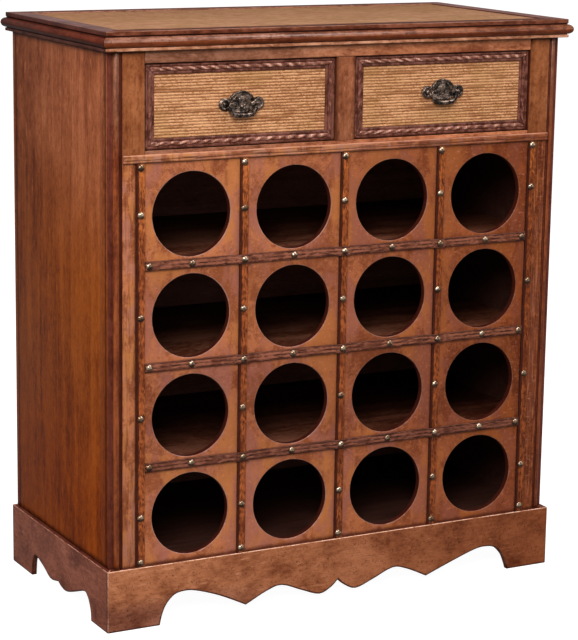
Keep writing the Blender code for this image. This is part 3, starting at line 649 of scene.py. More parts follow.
class Finishes:
    """The finishes of the chest, each made once when it is first asked for."""

    # Painted shade along the gap above the plinth.
    foot = Edge(UP, MARKS.plinth_top, 0.007, 0.9)
    # Painted shade under the overhang of the top.
    lintel_shade = Edge(UP, MARKS.top_underside, 0.006, 0.9)

    def __init__(self) -> None:
        """Describes every finish."""
        self.made: dict[str, Material] = {}
        groups = (self.case_woods(), self.top_woods(), self.fine_woods(), self.leathers(), self.fittings())
        self.kinds = {kind.name: kind for kinds in groups for kind in kinds}

    def case_woods(self) -> list[StainedWood]:
        """Describes the woods of the boards, posts and rails.

        Returns:
            Their finishes.
        """
        post = partial(StainedWood, clouds=24.0, streaks=90.0, gloss=0.6, shine=0.1)
        inner = partial(StainedWood, run=ACROSS, clouds=8.0, cloud_share=0.4, gloss=0.6, shine=0.1)
        return [
            # side_wood: painted shade above the plinth, beside the post's ledge and under the top.
            StainedWood("side_wood", tone(134, 72, 42), clouds=5.0, streaks=45.0, cloud_share=0.45,
                        contrast=1.6, specks=0.3, rubs=0.7, shine=0.06,
                        dirt=(Edge(UP, MARKS.plinth_top, 0.011, 0.95), Edge(DEPTH, 0.169, 0.006),
                              self.lintel_shade),
                        tints=(Tint(UP, 0.76, 0.5, (0.76, 0.57, 0.18)),
                               Tint(UP, 0.4, 0.15, (1.02, 0.84, 0.29)))),
            # front_wood and centre_wood: painted shade along the edges of the drawer openings; front_wood
            # also under the top.
            StainedWood("front_wood", tone(129, 71, 38), clouds=16.0, streaks=55.0, cloud_share=0.6,
                        contrast=1.7, dirt=(Edge(ACROSS, 0.3195, 0.0016, 0.7), self.lintel_shade)),
            StainedWood("centre_wood", tone(136, 78, 50), clouds=20.0, streaks=55.0, cloud_share=0.6,
                        contrast=1.5, rubs=0.8, dirt=(Edge(ACROSS, 0.0155, 0.005, 0.6),)),
            # rail_wood: painted shade under the top and above the drawer openings; the tint darkens the rail
            # towards the left, so that its right part reads lighter against the bead's shadow from the over
            # lamp: painted light.
            StainedWood("rail_wood", tone(176, 106, 70), run=ACROSS, clouds=18.0, streaks=60.0, contrast=1.8,
                        dirt=(Edge(UP, MARKS.top_underside, 0.0025, 0.9), Edge(UP, 0.8185, 0.0016, 0.7)),
                        tints=(Tint(ACROSS, 0.15, -0.25, (0.56, 0.63, 0.78)),)),
            StainedWood("bead_wood", tone(127, 60, 25), clouds=24.0, streaks=120.0, cloud_share=0.35,
                        contrast=1.8, gloss=0.34, shine=0.3, dirt=(self.foot, self.lintel_shade),
                        tints=(Tint(UP, 0.66, 0.78, (0.88, 1.25, 2.2)),)),
            # Darker woods for the post's grooves and ledges, the plinth's top ledge and the glue blocks:
            # painted shade.
            post("groove_wood", tone(74, 29, 16)),
            post("ledge_wood", tone(98, 45, 31), contrast=1.5),
            # plinth_wood: the first tint darkens the plinth towards the right, painted light falloff on top
            # of the key lamp's own.
            StainedWood("plinth_wood", tone(166, 101, 66), run=ACROSS, clouds=14.0, streaks=36.0,
                        cloud_share=0.92, contrast=1.2, specks=0.7, dirt=(Edge(ACROSS, 0.380, 0.003, 0.5),),
                        tints=(Tint(ACROSS, -0.3, 0.45, (0.54, 0.4, 0.3)),
                               Tint(UP, 0.055, 0.02, (0.62, 0.6, 0.75), -1, 0.03))),
            StainedWood("plinth_side_wood", tone(129, 71, 51), run=DEPTH, clouds=14.0, streaks=36.0,
                        cloud_share=0.75, contrast=1.5, specks=0.6, dirt=(Edge(DEPTH, 0.1875, 0.006, 0.9),)),
            inner("inner_wood", tone(120, 74, 60), streaks=60.0),
            # A dark copy of the inner wood for the base and top boards and the inner faces of the side
            # panels: painted shade inside the case.
            inner("base_wood", tone(55, 30, 23), streaks=60.0),
            inner("shelf_wood", tone(104, 60, 41), streaks=26.0, cloud_share=0.5, contrast=3.6,
                  # The tints darken the shelves towards the back, towards the right and on the lowest shelf:
                  # painted shade inside the case.
                  tints=(Tint(UP, 0.33, 0.27, (0.82, 0.76, 0.76)),
                         Tint(ACROSS, -0.05, 0.35, (0.66, 0.56, 0.5)),
                         Tint(DEPTH, -0.155, -0.03, (0.5, 0.47, 0.47), 0, 0.08))),
            StainedWood("drawer_wood", tone(156, 114, 78), run=DEPTH, clouds=6.0, cloud_share=0.3,
                        contrast=0.7, specks=0.2, gloss=0.6, shine=0.2),
        ]

    def top_woods(self) -> list[StainedWood]:
        """Describes the woods of the mouldings of the top.

        Returns:
            Their finishes.
        """
        front = partial(StainedWood, run=ACROSS, clouds=22.0)
        side = partial(StainedWood, run=DEPTH, clouds=22.0, streaks=90.0)
        return [
            front("front_flat", tone(84, 40, 24), clouds=30.0, streaks=110.0, contrast=4.4, rubs=1.0,
                  gloss=0.5, shine=0.06, dirt=(Edge(DEPTH, 0.159, 0.0022, 0.9),)),
            front("front_riser", tone(104, 54, 34), streaks=110.0, contrast=2.2, rubs=0.8),
            # front_groove and front_bead_low are darker copies: painted shade in the quirks and on the lower
            # half of the bead.
            front("front_groove", tone(52, 22, 14), clouds=9.0, gloss=0.6, shine=0.1),
            front("front_bead", tone(124, 76, 56), clouds=30.0, streaks=120.0, contrast=3.2, specks=0.9,
                  rubs=0.8, gloss=0.3, shine=0.4, tints=(Tint(ACROSS, -0.15, 0.1, (0.98, 0.8, 0.6)),)),
            front("front_bead_low", tone(116, 54, 26), streaks=90.0, contrast=1.8, gloss=0.4),
            # front_fillet: painted shade along its lower edge, under the top.
            front("front_fillet", tone(186, 126, 94), clouds=40.0, streaks=120.0, contrast=2.0,
                  dirt=(Edge(UP, MARKS.top_underside, 0.0012, 0.8),)),
            front("front_arris", tone(160, 112, 90), clouds=40.0, streaks=60.0, contrast=3.0, rubs=0.8),
            side("side_flat", tone(108, 69, 61), contrast=1.6, gloss=0.4,
                 dirt=(Edge(ACROSS, 0.3515, 0.003, 0.9),)),
            side("side_riser", tone(74, 34, 24), contrast=1.8),
            # side_groove and side_bead_low are darker copies: painted shade in the quirks and on the lower
            # half of the bead.
            side("side_groove", tone(44, 19, 12), clouds=9.0, streaks=70.0, gloss=0.6, shine=0.1),
            side("side_bead", tone(82, 31, 16), contrast=1.8, gloss=0.4, shine=0.08),
            side("side_bead_low", tone(64, 28, 18)),
            side("side_fillet", tone(72, 37, 28), clouds=40.0, contrast=2.0),
            side("side_arris", tone(84, 44, 34), clouds=40.0, streaks=60.0, contrast=2.4),
        ]

    def fine_woods(self) -> list[StainedWood]:
        """Describes the woods of worn arrises, of the drawers' trims and of their ropes.

        Returns:
            Their finishes.
        """
        worn = partial(StainedWood, clouds=60.0, streaks=300.0, cloud_share=0.7)
        rope = partial(StainedWood, clouds=70.0, streaks=160.0, cloud_share=0.7)
        # Painted shade along the trim's outer edges, beside the gap round each drawer opening.
        corners = ((UP, 0.8181, 0.003, 1.0), (UP, 0.6969, 0.0022, 0.95),
                   (ACROSS, 0.3193, 0.003, 1.0), (ACROSS, 0.0157, 0.003, 1.0))
        return [
            worn("worn_wood", tone(214, 164, 134), contrast=1.8, specks=0.5),
            worn("scuffed_wood", tone(150, 98, 78), contrast=3.0, specks=0.7),
            worn("burnt_edge", tone(92, 48, 34), contrast=1.6),
            StainedWood("trim_wood", tone(104, 58, 44), clouds=60.0, streaks=120.0, cloud_share=0.6,
                        contrast=3.4, rubs=1.0, gloss=0.34, shine=0.25,
                        dirt=tuple(Edge(*corner) for corner in corners)),
            # Lighter rope woods for strand sides and crests that face out: painted highlights.
            rope("rope_wood", tone(134, 82, 64), contrast=1.6, gloss=0.34, shine=0.3),
            rope("rope_crest", tone(176, 124, 100), contrast=4.0, gloss=0.3, shine=0.4),
            rope("rope_side", tone(120, 70, 56), contrast=3.0, rubs=0.9, gloss=0.36, shine=0.2),
        ]

    def leathers(self) -> list[Finish]:
        """Describes the leathers of the front, the band and the straps.

        Returns:
            Their finishes.
        """
        # The first tint darkens the leather towards the right: painted light falloff on top of the key lamp's
        # own.
        panel_tints = (Tint(ACROSS, -0.25, 0.5, (0.49, 0.3, 0.13)),
                       Tint(UP, 0.42, 0.33, (0.84, 0.82, 0.86)),
                       Tint(UP, 0.27, 0.21, (1.3, 1.36, 1.34)))
        return [
            Leather("panel_leather", tone(156, 89, 55), tone(184, 112, 62), tone(160, 97, 80), panel_tints,
                    contrast=2.8, cells=True, dirt=(self.foot,)),
            # post_leather: painted shade above the plinth and beside the first upright strap; its tint
            # darkens it towards the right, painted light falloff.
            Leather("post_leather", tone(162, 93, 57), tone(188, 116, 64), tone(176, 112, 90),
                    (Tint(ACROSS, -0.25, 0.5, (0.34, 0.19, 0.08)),), 30.0, 3.2, UP,
                    dirt=(self.foot, Edge(ACROSS, 0.3341, 0.002, 0.7))),
            Leather("rim_leather", tone(150, 98, 78), tone(162, 108, 82), tone(166, 122, 110), panel_tints,
                    clouds=40.0, gloss=0.4),
            # Near-black leather for the walls of the holes: painted shade.
            Leather("wall_leather", tone(60, 19, 11), tone(66, 24, 12), tone(58, 22, 15), clouds=40.0),
            # band_leather: painted shade along its lower edge and its crease, a painted highlight line along
            # its top, and a tint that darkens it towards the right, painted light falloff.
            Leather("band_leather", tone(151, 89, 60), tone(186, 121, 73), tone(174, 121, 96),
                    (Tint(ACROSS, -0.25, 0.5, (0.33, 0.14, 0.05)),), 30.0, 1.8, ACROSS, 0.75, gloss=0.4,
                    dirt=(Edge(UP, MARKS.band_bottom, 0.0014, 0.95), Edge(UP, 0.6845, 0.0008, 0.75)),
                    highlight_lines=(Edge(UP, 0.6912, 0.001, 0.5),)),
            # The straps' tints across darken them towards the right: painted light falloff.
            StrapLeather("strap_leather_up", UP, tone(108, 50, 20), -0.0038, 0.02, braid=0.13,
                         outer_pull=0.0061, tints=(Tint(UP, 0.55, 0.66, (1.3, 1.42, 1.3)),
                                                   Tint(ACROSS, -0.2, 0.35, (0.78, 0.73, 0.62)))),
            StrapLeather("strap_leather_across", ACROSS, tone(94, 50, 34), -0.007, 0.0078, far_shaded_edge=0.007,
                         braid=0.08, ribs=0.14, twist=0.014,
                         tints=(Tint(ACROSS, -0.1, 0.4, (0.86, 0.82, 0.76)),
                                Tint(UP, 0.3, 0.25, (0.84, 0.84, 0.88)))),
            # Near-black leather for the sides of the straps: painted shade.
            StrapLeather("strap_edge", UP, tone(40, 17, 10), -0.02, 0.02),
        ]

    def fittings(self) -> list[Finish]:
        """Describes the weaves and the metals.

        Returns:
            Their finishes.
        """
        return [
            Reed("drawer_reed", UP, 0.7125, tone(181, 124, 83), 0.42, 260.0, 3.1, 0.8),
            Reed("top_reed", DEPTH, -0.1590, tone(140, 98, 69), 0.45, 40.0, 1.2),
            OldMetal("antique_iron", tone(37, 30, 27), tone(148, 126, 112), 0.3, 0.8, 420.0),
            OldMetal("nail_brass", tone(122, 94, 70), tone(206, 182, 156), 0.26, 0.8),
            # Darker copies of the brass for the nails' downward faces and lowest ring: painted shade.
            OldMetal("nail_under", tone(52, 36, 26), tone(104, 78, 56), 0.4, 0.6),
            OldMetal("nail_foot", tone(30, 19, 14), tone(52, 36, 26), 0.5, 0.4),
        ]

    def give(self, name: str) -> Material:
        """Gives a finish, and makes it if it is new.

        Args:
            name: name of the finish.

        Returns:
            Its material.
        """
        if name not in self.made:
            self.made[name] = self.kinds[name].material()
        return self.made[name]


@dataclass
class Draft:
    """Points and faces of a piece while it is put together."""

    points: list[Vector] = field(default_factory=list)
    faces: list[tuple[int, ...]] = field(default_factory=list)
    kinds: list[int] = field(default_factory=list)
    under_drop: float = 0.08

    def loop(self, points: Iterable[Sequence[float]]) -> list[int]:
        """Adds a row of points.

        Args:
            points: places of the points.

        Returns:
            Their numbers.
        """
        start = len(self.points)
        self.points.extend(Vector(point) for point in points)
        return list(range(start, len(self.points)))

    def face(self, numbers: Sequence[int], kind: int = 0) -> None:
        """Adds one face."""
        self.faces.append(tuple(numbers))
        self.kinds.append(kind)

    def bridge(self, first: list[int], second: list[int], closed: bool = True,
               kind: "int | Callable[[int], int]" = 0) -> None:
        """Joins two rows of the same length with four-sided faces.

        Args:
            first: numbers of the first row.
            second: numbers of the second row.
            closed: whether the rows run round.
            kind: number of the finish, or what gives it for the number of a face.
        """
        count = len(first)
        for index in range(count if closed else count - 1):
            after = (index + 1) % count
            self.face((first[index], first[after], second[after], second[index]),
                      kind(index) if callable(kind) else kind)

    def skin(self, loops: Sequence[Sequence[Sequence[float]]], closed: bool = True, capped: bool = True,
             kinds: "Callable[[int], int | Callable[[int], int]]" = lambda row: 0, ends: int = 0) -> None:
        """Covers a row of loops.

        Args:
            loops: loops of points, all of the same length.
            closed: whether each loop runs round.
            capped: whether the first and last loops are filled.
            kinds: gives the finish of the faces after a loop, told its number.
            ends: number of the finish of the filled ends.
        """
        rows = [self.loop(points) for points in loops]
        for number, (first, second) in enumerate(zip(rows, rows[1:])):
            self.bridge(first, second, closed, kinds(number))
        if capped:
            self.face(rows[0][::-1], ends)
            self.face(rows[-1], ends)

    def dome(self, centre: Vector, radius: float, height: float, rings: int = 5, sides: int = 16,
             rim: int = 0, under: int = 0) -> None:
        """Adds a domed head that faces the front.

        Args:
            centre: middle of its foot.
            radius: radius of the foot.
            height: height of the dome.
            rings: number of rings.
            sides: points on each ring.
            rim: number of the finish of its lowest ring.
            under: number of the finish of the faces that look down.
        """
        first = OUT.orthogonal().normalized()
        second = OUT.cross(first)
        start = len(self.faces)
        numbers = []
        for ring in range(rings):
            angle = math.pi / 2 * ring / rings
            level = centre + OUT * (height * math.sin(angle))
            reach = radius * math.cos(angle)
            numbers.append(self.loop([level + (first * c + second * s) * reach for c, s in compass(sides)]))
        for low, high in zip(numbers, numbers[1:]):
            self.bridge(low, high, kind=rim if low is numbers[0] else 0)
        top = self.loop([centre + OUT * height])[0]
        for index in range(sides):
            self.face((numbers[-1][index], numbers[-1][(index + 1) % sides], top))
        self.face(numbers[0][::-1])
        for index in range(start, len(self.faces)):
            corners = self.faces[index]
            level = sum(self.points[corner].z for corner in corners) / len(corners)
            if self.kinds[index] == 0 and level < centre.z - radius * self.under_drop:
                self.kinds[index] = under

    def tube(self, path: Sequence[Vector], radii: Sequence[float], sides: int) -> None:
        """Adds a round tube along a path that keeps its distance from the front.

        Args:
            path: points of its middle line.
            radii: radius at each point.
            sides: points round the tube.
        """
        loops = []
        for index, (point, radius) in enumerate(zip(path, radii)):
            before = path[max(index - 1, 0)]
            after = path[min(index + 1, len(path) - 1)]
            across = (after - before).cross(OUT).normalized()
            loops.append([point + (across * c + OUT * s) * radius for c, s in compass(sides)])
        self.skin(loops)

    def mesh(self, name: str) -> Mesh:
        """Makes the mesh, with its faces turned outwards.

        Args:
            name: name of the mesh.

        Returns:
            The finished mesh.
        """
        mesh = bpy.data.meshes.new(name)
        mesh.from_pydata(self.points, [], self.faces)
        mesh.polygons.foreach_set("material_index", self.kinds)
        with worked(mesh) as work:
            bmesh.ops.recalc_face_normals(work, faces=work.faces)
        return mesh


class Workshop:
    """Puts pieces into the scene, with their finish and body."""

    weld = 1e-6
    flat_angle = math.radians(1.0)
    arris_angle = math.radians(32)
    scalloped_corners = 8

    def __init__(self) -> None:
        """Keeps the finishes at hand."""
        self.finishes = Finishes()

    def show(self, source: "Draft | Mesh", name: str, body: str, slot: str, finishes: Sequence[str],
             node: str | None = None, sharp: float = 50.0) -> None:
        """Adds a draft or a finished mesh as a piece.

        Args:
            source: draft or mesh in the frame's coordinates.
            name: name of the piece.
            body: body that it moves with.
            slot: not used.
            finishes: names of its finishes, in the order of its face kinds.
            node: solid that it stands for.
            sharp: angle in degrees from which an edge stays sharp, or 0 to keep the mesh's shading.
        """
        mesh = source.mesh(name) if isinstance(source, Draft) else source
        kinds = [polygon.material_index for polygon in mesh.polygons]
        mesh.materials.clear()
        for finish in finishes:
            mesh.materials.append(self.finishes.give(finish))
        mesh.polygons.foreach_set("material_index", kinds)
        if sharp > 0:
            mesh.polygons.foreach_set("use_smooth", [True] * len(mesh.polygons))
            mesh.set_sharp_from_angle(angle=math.radians(sharp))
        piece = bpy.data.objects.new(name, mesh)
        link(piece)
        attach(piece, body)
        if node is not None:
            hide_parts(node)

    def soften(self, node: str, width: float, slot: str, finishes: Sequence[str],
               paint: Callable[[Face, bool], int] | None = None, cut: float | None = None,
               inset: float | None = None) -> None:
        """Stands for a solid of the case with a copy whose arrises are rounded.

        Args:
            node: solid that is copied.
            width: width of the rounding in metres.
            slot: material slot of the record.
            finishes: names of its finishes; the last one is for the rounded arrises.
            paint: gives the finish number of a face, told whether it is a rounded arris.
            cut: height at which long faces are parted.
            inset: width of the band of faces that is parted along the edge of a scalloped face.
        """
        mesh = bpy.data.meshes.new(node + "_blank")
        with worked(mesh, frame["nodes"][node].data) as work:
            bmesh.ops.remove_doubles(work, verts=work.verts, dist=self.weld)
            bmesh.ops.dissolve_limit(work, angle_limit=self.flat_angle, verts=work.verts, edges=work.edges)
            bmesh.ops.recalc_face_normals(work, faces=work.faces)
        mesh.shade_smooth()
        for _ in finishes:
            mesh.materials.append(None)
        blank = bpy.data.objects.new(node + "_blank", mesh)
        link(blank)
        last = len(finishes) - 1
        round_over = blank.modifiers.new("round_over", "BEVEL")
        settings = {"width": width, "segments": 2, "limit_method": "ANGLE", "angle_limit": self.arris_angle,
                    "harden_normals": True, "material": last}
        for key, value in settings.items():
            setattr(round_over, key, value)
        graph = bpy.context.evaluated_depsgraph_get()
        rounded = bpy.data.meshes.new_from_object(blank.evaluated_get(graph))
        bpy.data.objects.remove(blank)
        if cut is not None:
            with worked(rounded) as work:
                everything = [*work.verts, *work.edges, *work.faces]
                bmesh.ops.bisect_plane(work, geom=everything, plane_co=(0, 0, cut), plane_no=(0, 0, 1))
        if inset is not None:
            with worked(rounded) as work:
                for face in [face for face in work.faces if len(face.verts) > self.scalloped_corners]:
                    bmesh.ops.inset_region(work, faces=[face], thickness=inset, use_even_offset=True)
        if paint is not None:
            for polygon in rounded.polygons:
                polygon.material_index = paint(polygon, polygon.material_index == last)
        self.show(rounded, node + "_board", CASE, slot, finishes, node, sharp=0)

    def paint(self, finish: str, *nodes: str) -> None:
        """Gives a better finish to solids that are shown as they are.

        Args:
            finish: name of the finish.
            *nodes: names of the solids.
        """
        for node in nodes:
            materials = frame["nodes"][node].data.materials
            materials.clear()
            materials.append(self.finishes.give(finish))


@dataclass(frozen=True)
class Lamp:
    """A square soft light: where it hangs, what it faces, its width and its power in watts."""

    name: str
    place: Point
    aim: Point
    size: float
    power: float
    glossy: bool = True

    def build(self) -> None:
        """Adds the light to the scene."""
        data = bpy.data.lights.new(self.name, "AREA")
        data.shape = "SQUARE"
        data.size = self.size
        data.energy = self.power
        lamp = bpy.data.objects.new(self.name, data)
        lamp.location = self.place
        lamp.rotation_euler = (Vector(self.aim) - Vector(self.place)).to_track_quat("-Z", "Y").to_euler()
        lamp.visible_glossy = self.glossy
        link(lamp)


@dataclass
class Studio:
    """Pale floor, soft lights and the camera."""

    eye: Point = (-1.59857, -2.99950, 1.12024)
    right: Point = (0.88278, -0.46955, 0.01496)
    up: Point = (0.08531, 0.19154, 0.97777)
    view: Point = (0.46198, 0.86188, -0.20915)
    focal_pixels: float = 2234.0
    frame_pixels: int = 578
    floor_reach: float = 14.0
    floor_glow: float = 0.97
    surround: float = 0.3
    backdrop: float = 1.05
    lamps: tuple[Lamp, ...] = (
        Lamp("key", (-1.6, -2.4, 2.3), (0.0, 0.0, 0.45), 1.4, 88.0),
        Lamp("fill", (2.6, -2.4, 1.5), (0.0, 0.0, 0.4), 1.6, 8.0),
        Lamp("over", (1.0, -1.2, 2.9), (0.1, 0.0, 0.6), 1.5, 40.0),
        Lamp("side", (-2.0, -0.1, 1.9), (-0.37, 0.0, 0.75), 1.0, 22.0),
        Lamp("rear", (1.0, 3.0, 2.0), (0.0, 0.0, 0.4), 2.0, 40.0, False))

    def build(self) -> list[str]:
        """Makes the camera, the lights, the floor and the surround.

        Returns:
            What was made.
        """
        self.camera()
        for lamp in self.lamps:
            lamp.build()
        self.floor()
        self.world()
        bpy.context.scene.view_settings.view_transform = "Standard"
        return ["camera", "floor", "five soft lights"]

    def camera(self) -> None:
        """Places the camera where the photograph was taken from."""
        data = bpy.data.cameras.new("photo_camera")
        data.sensor_fit = "HORIZONTAL"
        data.sensor_width = 36.0
        data.lens = self.focal_pixels / self.frame_pixels * data.sensor_width
        data.clip_start = 0.05
        camera = bpy.data.objects.new("photo_camera", data)
        turn = Matrix((Vector(self.right), Vector(self.up), -Vector(self.view))).transposed()
        camera.matrix_world = Matrix.Translation(self.eye) @ turn.to_4x4()
        link(camera)
        bpy.context.scene.camera = camera

    def floor(self) -> None:
        """Adds the pale floor that the chest stands on, white where the camera sees it."""
        draft = Draft()
        corners = ((-1, -1), (1, -1), (1, 1), (-1, 1))
        draft.face(draft.loop((x * self.floor_reach, y * self.floor_reach, 0) for x, y in corners))
        floor = bpy.data.objects.new("floor", draft.mesh("floor"))
        graph = Graph(bpy.data.materials.new("floor_paint"))
        cloud = graph.cloud(graph.place(), 3.0, 3.0, 0.5)
        colour = graph.ramp(cloud, (0.3, (0.27, 0.27, 0.27)), (0.7, (0.29, 0.29, 0.29)))
        graph.feed(graph.node("LightPath", {}, {}, "Is Camera Ray"), "Emission Color")
        paint = graph.dress(colour, 0.9, Specular_IOR_Level=0.0, Emission_Strength=self.floor_glow)
        floor.data.materials.append(paint)
        link(floor)

    def world(self) -> None:
        """Sets a plain surround, white where it is seen."""
        world = bpy.data.worlds.new("surround")
        graph = Graph(world, "Background")
        graph.shader.inputs["Color"].default_value = (1.0, 1.0, 1.0, 1.0)
        seen = graph.node("LightPath", {}, {}, "Is Camera Ray")
        graph.feed(graph.node("MapRange", {}, {0: seen, 3: self.surround, 4: self.backdrop}), "Strength")
        bpy.context.scene.world = world


class PlinthPart(IntEnum):
    """Kinds of faces on a plinth board, in the order of their finishes."""

    FACE = 0
    LEDGE = 1
    BURNT = 2
    WORN = 3


class PostPart(IntEnum):
    """Kinds of faces on a corner post, in the order of their finishes."""

    SIDE = 0
    GROOVE = 1
    BEAD = 2
    STILE = 3
    LOWER_STILE = 4
    LEDGE = 5


@dataclass
class Carcass:
    """Boards, posts and rails of the case, with the plinth under it."""

    shop: Workshop
    arris: float = 0.0009
    fine_arris: float = 0.0005
    deck_arris: float = 0.0006
    post_arris: float = 0.0003
    half_width: float = 0.374
    band_cover: float = 0.006
    scallop_top: float = 0.06
    scallop_edge: float = 0.0015
    bead_inset: float = 0.0126
    bead_radius: float = 0.0045
    bead_slack: float = 0.0005
    slack: float = 0.0006
    block_across: Pair = (0.3580, 0.3719)
    block_deep: Pair = (-0.1794, -0.1520)
    block_up: Pair = (0.0500, 0.0926)

    def build(self) -> list[str]:
        """Dresses every board of the case.

        Returns:
            What was made.
        """
        shop = self.shop
        shop.paint("shelf_wood", "shelf_1", "shelf_2", "shelf_3")
        shop.paint("base_wood", "base_board", "top_board")
        shop.paint("inner_wood", "back_panel")
        shop.paint("drawer_wood", "drawer_guide_left", "drawer_guide_centre", "drawer_guide_right")
        # The inner faces of the side panels take the dark inner wood: painted shade.
        panel = ("side_wood", "base_wood", "side_wood")
        post = ("side_wood", "groove_wood", "bead_wood", "front_wood", "post_leather", "ledge_wood",
                "bead_wood")
        for side in SIDES:
            shop.soften(f"{side}_side_panel", self.arris, "case_wood", panel, self.panel_face)
            shop.soften(f"corner_post_{side}", self.post_arris, "case_wood", post, self.post_face,
                        MARKS.band_bottom + self.band_cover)
        shop.soften("top_rail", self.fine_arris, "case_wood", ("rail_wood",) * 2)
        shop.soften("centre_stile", self.fine_arris, "case_wood", ("centre_wood",) * 2)
        shop.soften("drawer_deck", self.deck_arris, "case_wood", ("rail_wood",) * 2)
        for part in ("front", "left", "right", "back"):
            face, worn = (("plinth_wood", "worn_wood") if part == "front" else
                          ("plinth_side_wood", "scuffed_wood"))
            shop.soften(f"plinth_{part}", self.arris, "plinth_wood", (face, "ledge_wood", "burnt_edge", worn),
                        self.plinth_face, inset=self.scallop_edge)
        self.block("glue_block_left", -1)
        self.block("glue_block_right", 1)
        return ["carcass boards", "corner posts", "plinth", "glue blocks"]

    def block(self, name: str, side: int) -> None:
        """Puts a glue block into a front corner of the plinth, under the foot of the post.

        Args:
            name: name of the piece.
            side: -1 for the left corner, 1 for the right one.
        """
        draft = Draft()
        arris = self.arris / 3
        (inner, outer), (front, back), (low, high) = (self.block_across, self.block_deep, self.block_up)
        loops = []
        for z, inset in ((low, arris), (low + arris, 0.0), (high - arris, 0.0), (high, arris)):
            corners = ((inner + inset, front + inset), (outer - inset, front + inset),
                       (outer - inset, back - inset), (inner + inset, back - inset))
            loops.append([(side * x, y, z) for x, y in corners])
        draft.skin(loops)
        # The glue block takes the dark ledge wood: painted shade in the corner pocket.
        self.shop.show(draft, name, CASE, "plinth_wood", ("ledge_wood",), sharp=35)

    def panel_face(self, face: Face, rounded: bool) -> int:
        """Tells the inner side of a side panel from the rest."""
        return int(face.normal.x * face.center.x < 0 and abs(face.normal.x) > 0.7)

    def plinth_face(self, face: Face, rounded: bool) -> PlinthPart:
        """Tells apart the faces of a plinth board.

        Args:
            face: face of the board.
            rounded: whether it is a rounded arris.

        Returns:
            The kind of face.
        """
        points = face.id_data.vertices
        if max(points[index].co.z for index in face.vertices) < self.scallop_top:
            return PlinthPart.BURNT
        if rounded:
            return PlinthPart.WORN
        return PlinthPart.LEDGE if face.normal.z > 0.9 else PlinthPart.FACE

    def post_face(self, face: Face, rounded: bool) -> PostPart:
        """Tells apart the faces of a post.

        Args:
            face: face of the post.
            rounded: not used.

        Returns:
            The kind of face.
        """
        inset = self.half_width - abs(face.center.x)
        depth = face.center.y - MARKS.front
        if inset < self.slack:
            return PostPart.SIDE
        if depth < self.slack and inset > self.bead_inset + self.bead_radius:
            upper = face.center.z > MARKS.band_bottom + self.band_cover
            return PostPart.STILE if upper else PostPart.LOWER_STILE
        reach = math.hypot(inset - self.bead_inset, depth - self.bead_radius)
        outwards = math.copysign(1.0, face.center.x) * face.normal.x - face.normal.y
        if abs(reach - self.bead_radius) < self.bead_slack and outwards > 0.2:
            return PostPart.BEAD
        return PostPart.LEDGE if inset < self.bead_inset else PostPart.GROOVE


class TopPart(IntEnum):
    """Kinds of faces on a moulding of the top, in the order of their finishes."""

    FLAT = 0
    RISER = 1
    GROOVE = 2
    BEAD = 3
    BEAD_LOW = 4
    FILLET = 5
    ARRIS = 6


@dataclass
class TopFrame:
    """The moulded frame of the top and its woven inset."""

    shop: Workshop
    top: float = 0.864
    bead_top: float = 0.8561
    fillet_top: float = 0.8408
    arris: float = 0.0006
    arris_reach: float = 0.002
    flat_reach: float = 0.0005
    fillet_reach: float = 0.0004
    riser_foot: float = 0.0025
    weave_step: float = 0.009

    def build(self) -> list[str]:
        """Dresses the four mouldings and weaves the inset.

        Returns:
            What was made.
        """
        for part in ("front", "back", "left", "right"):
            way = "front" if part in ("front", "back") else "side"
            self.shop.soften(f"top_frame_{part}", self.arris, "moulding_wood",
                             [f"{way}_{kind.name.lower()}" for kind in TopPart], self.face)
        weave = Weave(*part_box("top_weave"), DEPTH, self.weave_step).draft()
        self.shop.show(weave, "top_weave_reed", CASE, "woven_reed", ("top_reed",), "top_weave", 80)
        return ["top mouldings", "woven top"]

    def face(self, face: Face, rounded: bool) -> TopPart:
        """Tells apart the faces of a moulding.

        Args:
            face: face of the moulding.
            rounded: whether it is a rounded arris.

        Returns:
            The kind of face.
        """
        level = face.center.z
        if rounded and level > self.top - self.arris_reach:
            return TopPart.ARRIS
        if rounded:
            return TopPart.FILLET if level < self.fillet_top + self.fillet_reach else TopPart.GROOVE
        if face.normal.z < -0.95:
            return TopPart.GROOVE
        if level > self.top - self.flat_reach:
            return TopPart.FLAT
        if level > self.bead_top:
            return TopPart.RISER if level > self.bead_top + self.riser_foot else TopPart.GROOVE
        if level < self.fillet_top:
            return TopPart.FILLET
        return TopPart.BEAD if face.normal.z > -0.1 else TopPart.BEAD_LOW


@dataclass
class Weave:
    """A panel of round cords that run across it, each pressed by the uprights it passes."""

    low: Vector
    high: Vector
    rows: Run
    step: float
    crown: float = 0.0007
    press: float = 0.32
    upright_pitch: float = 0.012
    samples: int = 5

    def draft(self) -> Draft:
        """Weaves the panel and closes it at its back.

        Returns:
            Its points and faces.
        """
        draft = Draft()
        low, high, way = self.low, self.high, self.rows.value
        axis, face, back, inward = (1, low.y, high.y, 1.0) if self.rows is UP else (2, high.z, low.z, -1.0)
        reach = high[way] - low[way]
        columns = max(2, round((high.x - low.x) / self.step))
        count = max(1, round(reach / MARKS.reed_pitch))

        def spot(x: float, place: float, depth: float) -> Point:
            """Returns a point by its place across the rows and its depth."""
            return tuple({0: x, way: place, axis: depth}[index] for index in range(3))

        grid = []
        for row in range(count):
            for sample in range(self.samples):
                place = low[way] + reach * ((row + sample / self.samples) / count)
                arch = math.sin(math.pi * sample / self.samples)
                line = []
                for column in range(columns + 1):
                    x = low.x + (high.x - low.x) * column / columns
                    wave = 0.5 + 0.5 * math.cos(math.pi * (x / self.upright_pitch + row))
                    lift = self.crown * (1 - arch * (1 - self.press + self.press * wave))
                    line.append(spot(x, place, face + inward * lift))
                grid.append(line)
        grid.append([spot(point[0], high[way], point[axis]) for point in grid[0]])
        draft.skin(grid, closed=False, capped=False)
        corners = [grid[0][0], grid[0][-1], grid[-1][-1], grid[-1][0]]
        rim = draft.loop(corners)
        sunk = draft.loop(spot(corner[0], corner[way], back) for corner in corners)
        draft.bridge(rim, sunk)
        draft.face(sunk)
        return draft


